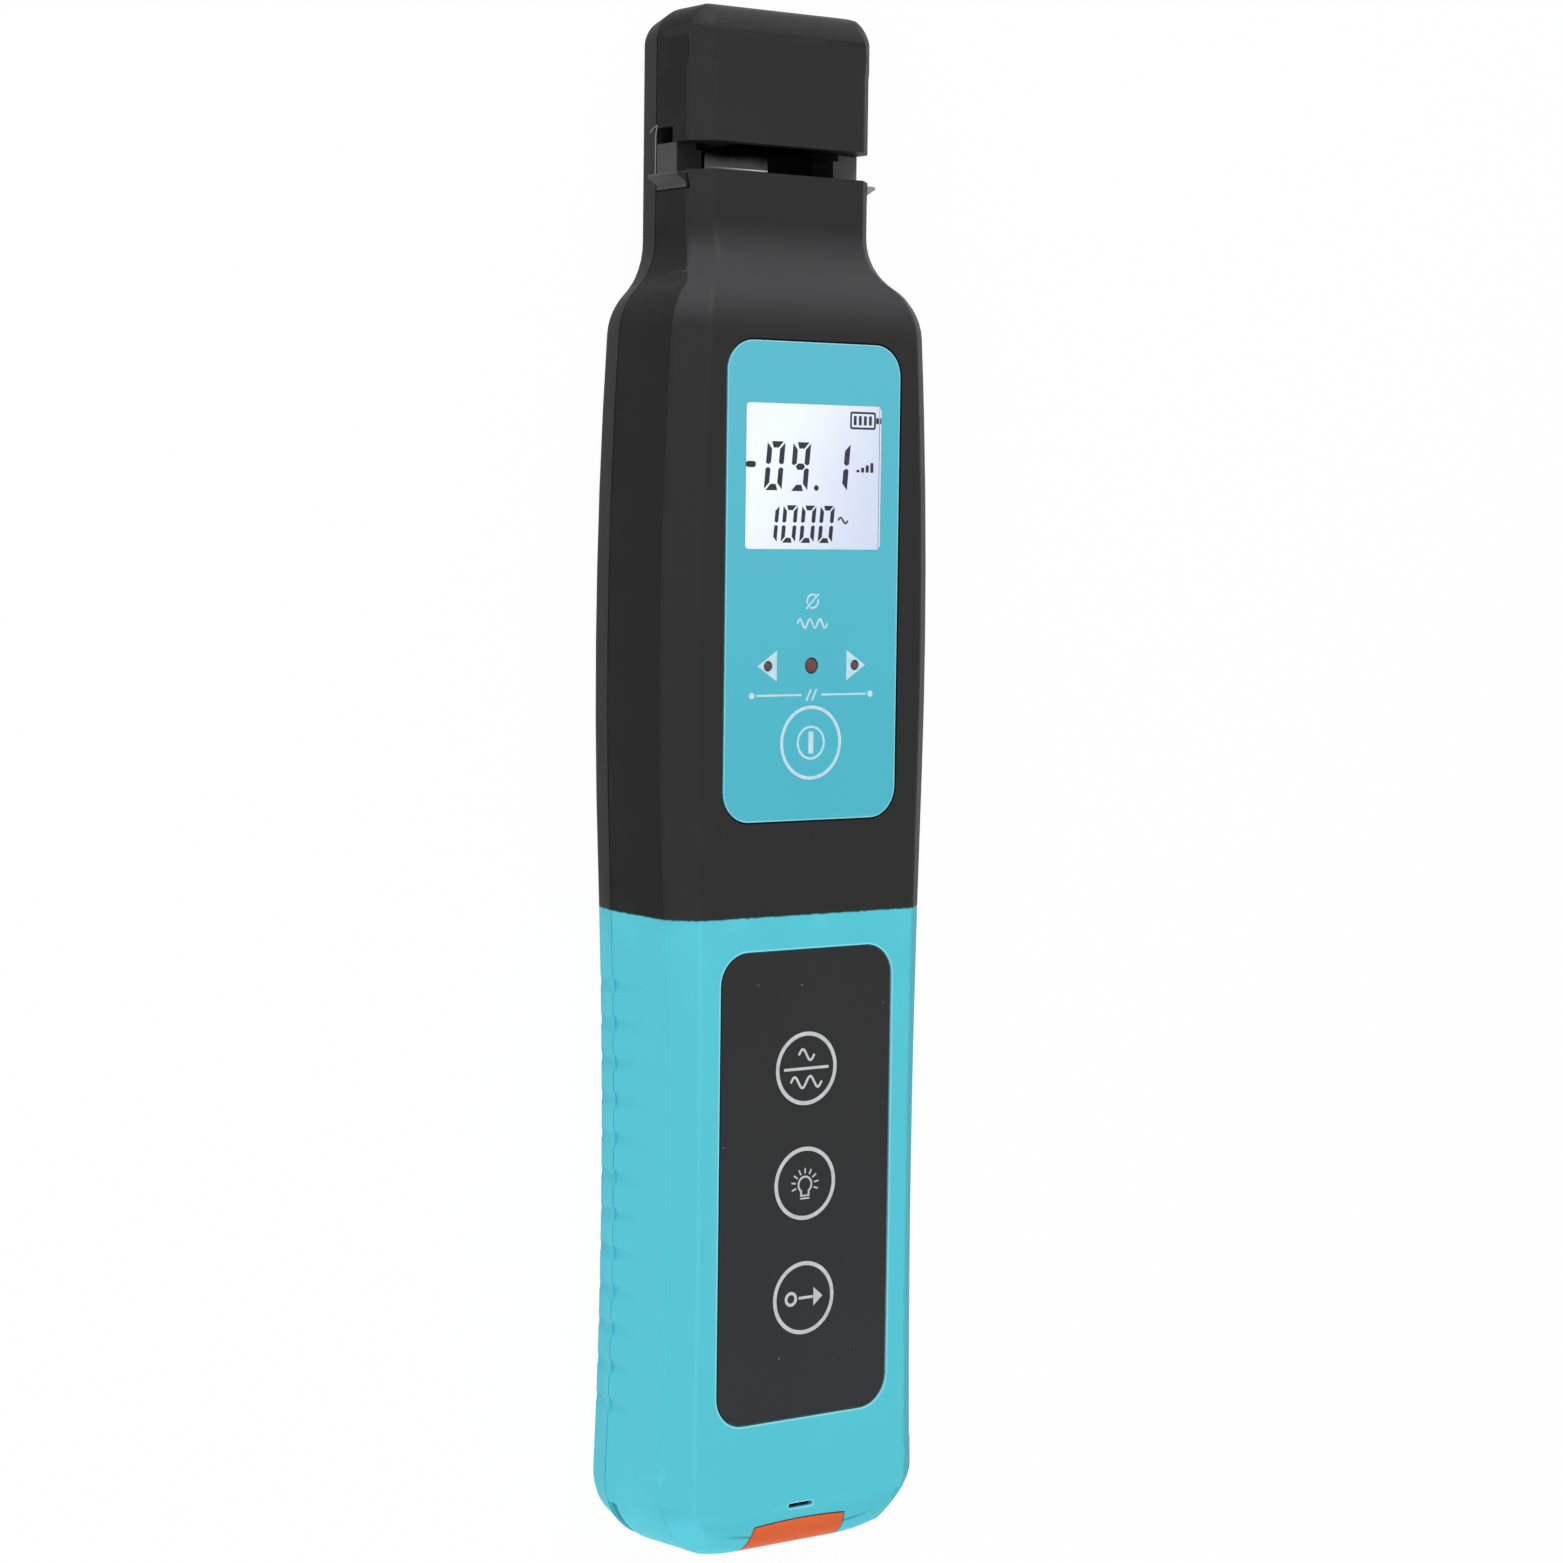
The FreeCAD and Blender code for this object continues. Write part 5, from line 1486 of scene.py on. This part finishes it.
@dataclass
class Display:
    """The display: its window, its lit glass and the segments on it."""

    low: Point = (-10.35, 128.2)
    high: Point = (10.35, 146.3)
    corner: float = 0.5
    glass_depths: Point = (18.4, 21.2)
    window_depths: Point = (21.26, 21.97)
    pane_round: float = 0.03
    film: float = 0.03
    slant: float = 0.09
    big: Point = (2.68, 6.1)
    big_row: Sequence[tuple] = (("abcdef", (-7.34, 135.5), 0.8), ("abcdfg", (-3.44, 135.45), 0.8),
                                ("bc", (2.68, 135.5), 0.86))
    small: Point = (2.18, 4.68)
    small_row: Sequence[tuple] = (("bc", (-7.5, 129.0), 0.6), ("abcdef", (-4.69, 129.0), 0.62),
                                  ("abcdef", (-1.86, 129.0), 0.62), ("abcdef", (0.97, 129.0), 0.62))
    dash: Sequence[Point] = ((-10.02, 138.3), (-8.56, 139.08))
    dash_corner: float = 0.34
    dot: Sequence[float] = (0.66, 135.88, 0.36)
    steps_at: Point = (6.85, 137.95)
    step_pitch: float = 0.72
    step_width: float = 0.46
    step_heights: Sequence[float] = (0.32, 0.62, 0.92, 1.22)
    step_corner: float = 0.05
    wave_at: Point = (4.1, 131.85)
    wave_size: Point = (1.5, 0.36)
    wave_stroke: float = 0.24
    battery_box: Sequence[Point] = ((5.76, 143.36), (9.76, 145.58))
    battery_corners: Point = (0.3, 0.12)
    battery_wall: float = 0.26
    battery_tip: Sequence[Point] = ((9.82, 144.1), (10.24, 144.86))
    tip_corner: float = 0.08
    charge_bars: int = 4
    charge_start: float = 6.54
    charge_pitch: float = 0.79
    charge_size: Point = (0.42, 1.16)

    def digit(self, shape: Shape, lit: str, corner: Point, size: Point, thick: float) -> None:
        """Add one slanted digit of seven segments.

        Args:
            shape: The shape that takes the segments.
            lit: The letters of the lit segments.
            corner: The digit's lower left corner.
            size: Its width and height.
            thick: The segments' thickness.
        """
        width, height = size
        gap, half = 0.13 * thick + 0.05, height / 2
        side, end = thick * 0.92, thick * 0.62

        def mirrored(points: Outline) -> Outline:
            """Give points on the digit's other side."""
            return [(width - x, y) for x, y in points]

        def flipped(points: Outline) -> Outline:
            """Give points at the digit's other end."""
            return [(x, height - y) for x, y in points]

        top = [(end + gap, height), (width - end + 0.5 * thick - gap, height),
               (width - thick - gap, height - thick), (thick + gap, height - thick)]
        upright = [(0, height - gap), (0, half + gap + 0.25 * thick), (side / 2, half + gap),
                   (side, half + gap + 0.3 * thick), (side, height - thick - gap)]
        tip = [(thick + gap, half - thick / 2), (thick * 0.6 + gap, half), (thick + gap, half + thick / 2)]
        parts = {
            "a": top, "b": mirrored(upright), "c": mirrored(flipped(upright)), "d": mirrored(flipped(top)),
            "e": flipped(upright), "f": upright, "g": tip + mirrored(tip)[::-1],
        }
        for name in lit:
            outline = [(corner[0] + x + self.slant * y, corner[1] + y) for x, y in parts[name]]
            self.segment(shape, outline)

    def segment(self, shape: Shape, outline: Outline, holes: Sequence[Outline] = ()) -> None:
        """Add one dark area on the glass."""
        shape.prism(outline, self.glass_depths[1], self.glass_depths[1] + self.film, holes)

    def box(self, shape: Shape, low: Point, high: Point, corner: float) -> None:
        """Add one dark box on the glass."""
        self.segment(shape, rounded_box(low, high, corner, 4))

    def build(self) -> None:
        """Build the display."""
        outline = rounded_box(self.low, self.high, self.corner)
        pane = Shape()
        pane.prism(outline, *self.window_depths)
        settle("display_pane", pane.finished(edge=self.pane_round), CLEAR_WINDOW,
               ["display_window"])
        panel = Shape()
        panel.prism(outline, *self.glass_depths)
        settle("display_panel", panel.finished(), DISPLAY, ["display_glass"])
        marks = Shape()
        self.figures(marks)
        self.battery(marks)
        settle("display_figures", marks.finished(), SEGMENT_INK)

    def figures(self, shape: Shape) -> None:
        """Add the two rows of figures and the small marks beside them."""
        for size, row in ((self.big, self.big_row), (self.small, self.small_row)):
            for lit, corner, thick in row:
                self.digit(shape, lit, corner, size, thick)
        self.box(shape, *self.dash, self.dash_corner)
        self.segment(shape, circle(*self.dot, 24))
        left, foot = self.steps_at
        for index, height in enumerate(self.step_heights):
            start = left + self.step_pitch * index
            self.box(shape, (start, foot), (start + self.step_width, foot + height), self.step_corner)
        self.segment(shape, band(wave(self.wave_at, *self.wave_size, 1, 16), self.wave_stroke))

    def battery(self, shape: Shape) -> None:
        """Add the battery mark with its row of bars."""
        outer, inner = [inset_box(self.battery_box, inset, corner, 5)
                        for inset, corner in zip((0.0, self.battery_wall), self.battery_corners)]
        self.segment(shape, outer, [inner])
        self.box(shape, *self.battery_tip, self.tip_corner)
        height = (self.battery_box[0][1] + self.battery_box[1][1]) / 2
        middle = self.glass_depths[1] + self.film / 2
        shape.mesh.from_mesh(row_tree().mesh(bpy.data.meshes.new("start"), {
            "Count": self.charge_bars, "Start": place(self.charge_start, height, middle),
            "Pitch": Vector((self.charge_pitch, 0, 0)) * MM,
            "Size": Vector((*self.charge_size, self.film)) * MM, "Material": SEGMENT_INK.material(),
        }))


# The height of each key's middle, from the top of the tool down.
KEY_HEIGHTS = {Body.POWER: 103.9, Body.UNIT: 62.5, Body.LIGHT: 47.75, Body.LASER: 33.0}


@dataclass
class Film:
    """What the labels and the keys share: the film's depths and the print on it."""

    back: float = 21.6
    front: float = 21.96
    print_sink: float = 0.01
    print_lift: float = 0.02

    def ink(self, shape: Shape, outline: Outline, holes: Sequence[Outline] = ()) -> None:
        """Add one printed area."""
        shape.prism(outline, self.front - self.print_sink, self.front + self.print_lift, holes)


@dataclass
class Labels(Film):
    """The two films, the lamps in the upper one and what is printed on it."""

    corner: float = 3.9
    film_round: float = 0.02
    upper: Sequence[Point] = ((-13.2, 94.1), (13.2, 154.0))
    lower: Sequence[Point] = ((-13.0, 17.7), (13.0, 77.6))
    rim_insets: Point = (0.03, 0.17)
    window: Sequence[Point] = ((-10.37, 128.18), (10.37, 146.32))
    window_corner: float = 0.6
    key_hole: float = 4.765
    lamp_at: float = 113.6
    lamp_step: float = 6.65
    lamp_radii: Sequence[float] = (0.6, 1.0, 0.6)
    lamp_gap: float = 0.04
    lamp_foot: Sequence[Point] = ((1.5, 19.4), (1.5, 15.6))
    lamp_collar: float = 19.5
    arrow_tip: float = 1.62
    arrow_back: float = 1.3
    arrow_half: float = 1.92
    arrow_hole: float = 0.68
    wave_at: Point = (-2.3, 118.9)
    wave_size: Point = (4.6, 0.55)
    ring_at: Point = (0.0, 121.7)
    ring_radius: float = 0.85
    ring_parts: Sequence[Point] = ((55, 205), (245, 375))
    strike: float = 0.95
    line_at: float = 109.93
    line_ends: Point = (1.5, 8.5)
    line_half: float = 0.13
    line_corner: float = 0.12
    line_dot: Point = (9.1, 0.42)
    break_at: float = 0.42
    break_size: Point = (0.35, 0.73)
    ring_stroke: float = 0.24
    wave_stroke: float = 0.26

    def lamps(self) -> list[Point]:
        """Give each lamp's place across the tool with its radius."""
        return [((index - 1) * self.lamp_step, radius) for index, radius in enumerate(self.lamp_radii)]

    def film(self, name: str, box: Sequence[Point], holes: Sequence[Outline], finish: Finish,
             slot: Slot) -> None:
        """Build the upper or the lower film.

        Args:
            name: Which of the two it is.
            box: Its lower left and upper right corners.
            holes: The outlines of its holes.
            finish: Its finish.
            slot: The record's slot; not used.
        """
        film = Shape()
        film.prism(rounded_box(*box, self.corner), self.back, self.front, holes)
        settle(name + "_film", film.finished(edge=self.film_round), finish, [name + "_label"])

    def build(self) -> None:
        """Build the films, the lamps and the print."""
        power, *others = [circle(0, height, self.key_hole) for height in KEY_HEIGHTS.values()]
        window = rounded_box(*self.window, self.window_corner)
        lamps = [circle(x, self.lamp_at, radius + self.lamp_gap, 40) for x, radius in self.lamps()]
        self.film("upper", self.upper, [window, power, *lamps], TEAL_FILM, Slot.TEAL_FILM)
        self.film("lower", self.lower, others, BLACK_FILM, Slot.BLACK_FILM)
        self.rim()
        self.signs()
        self.lenses()

    def rim(self) -> None:
        """Build the painted highlight along the cut edge round the upper film."""
        outer, inner = [inset_box(self.upper, inset, self.corner - inset) for inset in self.rim_insets]
        rim = Shape()
        self.ink(rim, outer, [inner])
        settle("upper_film_edge", rim.finished(), FILM_EDGE_HIGHLIGHT)

    def signs(self) -> None:
        """Build the two arrows, the struck-out ring over a wave and the broken line under the lamps."""
        signs = Shape()
        for side in (-1, 1):
            x, y = side * self.lamp_step, self.lamp_at
            back = x - side * self.arrow_back
            arrow = [(x + side * self.arrow_tip, y), (back, y + self.arrow_half), (back, y - self.arrow_half)]
            self.ink(signs, arrow, [circle(x, y, self.arrow_hole, 32)])
            ends = sorted(side * end for end in self.line_ends)
            self.ink(signs, bar(*ends, self.line_at, self.line_half, self.line_corner, 4))
            self.ink(signs, circle(side * self.line_dot[0], self.line_at, self.line_dot[1], 24))
            middle, (across, along) = side * self.break_at, self.break_size
            slash = [(middle + way * across, self.line_at + way * along) for way in (-1, 1)]
            self.ink(signs, band(slash, self.wave_stroke))
        self.ink(signs, band(wave(self.wave_at, *self.wave_size, 3, 64), self.wave_stroke))
        for start, end in self.ring_parts:
            self.ink(signs, band(arc(self.ring_at, self.ring_radius, start, end), self.ring_stroke))
        strike = [(way * self.strike, self.ring_at[1] + way * self.strike) for way in (-1, 1)]
        self.ink(signs, band(strike, self.ring_stroke))
        settle("upper_film_signs", signs.finished(), PALE_INK)

    def lenses(self) -> None:
        """Build the three lamps, each with a domed tip."""
        for name, (x, radius) in zip(("left_led", "signal_led", "right_led"), self.lamps()):
            dome = [(share * radius, self.front - drop)
                    for share, drop in ((0.25, 0.0), (0.7, 0.05), (0.94, 0.16), (1.0, 0.3))]
            lens = Shape()
            lens.turned(x, self.lamp_at, [*dome, (radius, self.lamp_collar), *self.lamp_foot], 40)
            finish = replace(RED_LENS, name=name + "_lens", at=(x, self.lamp_at), radius=radius)
            settle(name + "_lens", lens.finished(), finish, [name])


@dataclass
class Keys(Film):
    """The four keys, each a film disc with a printed ring and sign."""

    radius: float = 4.75
    edge: float = 0.02
    stem_radius: float = 2.0
    stem_end: float = 19.3
    ring: float = 4.7
    upper_stroke: float = 0.45
    lower_stroke: float = 0.52

    def disc(self, body: Body, finish: Finish, slot: Slot) -> None:
        """Build one key's disc and stem."""
        disc = Shape()
        disc.turned(0, KEY_HEIGHTS[body], [
            (self.radius - self.edge, self.front), (self.radius, self.front - self.edge),
            (self.radius, self.back), (self.stem_radius, self.back), (self.stem_radius, self.stem_end),
        ], 96)
        settle(body.value + "_disc", disc.finished(), finish, [body.value], body)

    def printed(self, body: Body, stroke: float, signs: Sequence[Sequence[Outline]], ink: Finish,
                slot: Slot) -> None:
        """Build what is printed on one key.

        Args:
            body: The key's body.
            stroke: The ring's width.
            signs: Outlines, each with those of its holes.
            ink: The print's finish.
            slot: The record's slot; not used.
        """
        shape = Shape()
        ring = [circle(0, KEY_HEIGHTS[body], radius) for radius in (self.ring, self.ring - stroke)]
        for outline, *holes in [ring, *signs]:
            self.ink(shape, outline, holes)
        settle(body.value + "_print", shape.finished(), ink, body=body)

    @staticmethod
    def power_sign(height: float) -> list[list[Outline]]:
        """Give a ring with an upright bar in it."""
        ring = [circle(0, height, radius, 64) for radius in (2.15, 1.85)]
        return [ring, [bar(-0.38, 0.38, height, 1.4, 0.05)]]

    @staticmethod
    def unit_sign(height: float) -> list[list[Outline]]:
        """Give a bar across, with a short wave above it and a longer one below."""
        signs = [[bar(-3.45, 3.45, height, 0.18, 0.1)]]
        offset, length, swing, stroke, steps = 1.75, 2.4, 0.72, 0.32, 28
        for middle, turns in ((height + offset, 1), (height - offset, 2)):
            start = (-length * turns / 2, middle)
            signs.append([band(wave(start, length * turns, swing, turns, steps * turns), stroke)])
        return signs

    @staticmethod
    def light_sign(height: float) -> list[list[Outline]]:
        """Give a lamp bulb with rays."""
        middle, stroke, ray_stroke = height - 0.15, 0.26, 0.2
        neck, neck_top, neck_end = 0.58, middle - 0.85, middle - 1.3
        glass = arc((0, middle), 1.0, -58, 238, 40)
        outline = [(-neck, neck_end), (-neck, neck_top), *reversed(glass), (neck, neck_top), (neck, neck_end)]
        signs = [[band(outline, stroke)]]
        for drop in (1.42, 1.78):
            signs.append([bar(-0.72, 0.72, middle - drop, 0.1, 0.06)])
        for angle in range(-18, 199, 27):
            ray = [polar((0, middle), radius, angle) for radius in (1.42, 2.12)]
            signs.append([band(ray, ray_stroke)])
        return signs

    @staticmethod
    def laser_sign(height: float) -> list[list[Outline]]:
        """Give a dot with a beam and an arrow head."""
        dot = [circle(-1.95, height, radius, 40) for radius in (0.95, 0.55)]
        head = [(1.55, height + 1.2), (2.95, height), (1.55, height - 1.2)]
        return [dot, [bar(-0.75, 1.5, height, 0.18, 0.1)], [head]]

    def build(self) -> None:
        """Build the four keys."""
        signs = (self.power_sign, self.unit_sign, self.light_sign, self.laser_sign)
        for (body, height), sign in zip(KEY_HEIGHTS.items(), signs):
            if body is Body.POWER:
                film, ink, slot, stroke = TEAL_FILM, PALE_INK, Slot.TEAL_FILM, self.upper_stroke
            else:
                film, ink, slot, stroke = BLACK_FILM, WHITE_INK, Slot.BLACK_FILM, self.lower_stroke
            self.disc(body, film, slot)
            self.printed(body, stroke, sign(height), ink, slot)


@dataclass
class Studio:
    """The camera, the lamps, the world and the floor."""

    eye: Sequence[float] = (-253.2, 33.4, 381.05)
    yaw: float = 34.716
    pitch: float = 4.225
    roll: float = -0.726
    lens: float = 80.47
    sensor: float = 36.0
    clip: Point = (0.01, 100.0)
    lamps: Sequence[tuple] = (
        ("key_lamp", (-0.15, 0.95, 0.72), 0.7, 13.0),
        ("fill_lamp", (-0.9, -0.15, 0.7), 0.8, 1.2),
        ("low_lamp", (-0.3, -0.8, 0.55), 0.7, 4.5),
    )
    sky: float = 0.22
    floor_size: float = 6.0
    floor_drop: float = 0.0002
    floor_colour: Colour = (0.9, 0.9, 0.9)
    floor_glow: float = 0.97

    def camera(self) -> None:
        """Set the camera at the photograph's place."""
        turn = (Matrix.Rotation(math.radians(self.roll), 3, "Z")
                @ Matrix.Rotation(math.radians(self.pitch), 3, "X")
                @ Matrix.Rotation(math.radians(self.yaw), 3, "Y"))
        data = bpy.data.cameras.new("photo_camera")
        data.lens = self.lens
        data.sensor_width = self.sensor
        data.clip_start, data.clip_end = self.clip
        camera = bpy.data.objects.new("photo_camera", data)
        camera.matrix_world = Matrix.Translation(Vector(self.eye) * MM) @ turn.transposed().to_4x4()
        bpy.context.scene.collection.objects.link(camera)
        bpy.context.scene.camera = camera

    @staticmethod
    def lamp(name: str, spot: Sequence[float], size: float, power: float) -> None:
        """Add one soft lamp that points at the tool.

        Args:
            name: The lamp's name.
            spot: Its place in metres.
            size: The side of its square.
            power: Its power in watts.
        """
        data = bpy.data.lights.new(name, "AREA")
        data.size = size
        data.energy = power
        lamp = bpy.data.objects.new(name, data)
        lamp.location = spot
        lamp.rotation_euler = (-Vector(spot)).to_track_quat("-Z", "Y").to_euler()
        bpy.context.scene.collection.objects.link(lamp)

    @staticmethod
    def seen(sheet: Sheet) -> Value:
        """Give 1 for what the camera sees, directly or in gloss or glass."""
        rays = [sheet.node("ShaderNodeLightPath", output=name)
                for name in ("Is Camera Ray", "Is Glossy Ray", "Is Transmission Ray")]
        return sheet.between(rays[0] + rays[1] + rays[2], 0.0, 1.0)

    def world(self) -> None:
        """Light the scene from a plain sky."""
        world = bpy.data.worlds.new("plain_sky")
        world.use_nodes = True
        bpy.context.scene.world = world
        sheet = Sheet(world.node_tree, "ShaderNodeOutputWorld")
        dim, full = [
            sheet.node("ShaderNodeBackground", inputs={"Color": (1.0, 1.0, 1.0), "Strength": strength})
            for strength in (self.sky, 1.0)
        ]
        sheet.mixed(self.seen(sheet), dim, full)

    def floor(self) -> None:
        """Lay the pale floor."""
        mesh = bpy.data.meshes.new("floor")
        half = self.floor_size / 2
        corners = [(-half, -half), (half, -half), (half, half), (-half, half)]
        mesh.from_pydata([(x, y, -self.floor_drop) for x, y in corners], [], [(0, 1, 2, 3)])
        material = bpy.data.materials.new("pale_floor")
        material.use_nodes = True
        sheet = Sheet(material.node_tree, "ShaderNodeOutputMaterial")
        plain = sheet.node("ShaderNodeBsdfDiffuse", inputs={"Color": self.floor_colour})
        white = sheet.node("ShaderNodeEmission", inputs={"Color": (1.0, 1.0, 1.0), "Strength": 1.0})
        sheet.mixed(self.seen(sheet) * self.floor_glow, plain, white)
        mesh.materials.append(material)
        floor = bpy.data.objects.new("floor", mesh)
        bpy.context.scene.collection.objects.link(floor)

    def build(self) -> None:
        """Build the studio."""
        self.camera()
        for lamp in self.lamps:
            self.lamp(*lamp)
        self.world()
        self.floor()
        bpy.context.scene.view_settings.view_transform = "Standard"


def main() -> None:
    """Build the whole scene and note its size."""
    logging.basicConfig(level=logging.INFO, format="%(name)s: %(message)s")
    parts = [Studio(), Case(), MovingParts(), Inside(), Springs(), EdgeHighlightWire(), Screws(), Display(), Labels(),
             Keys()]
    for part in parts:
        part.build()
        log.info("built %s", type(part).__name__)


if __name__ == "__main__":
    main()
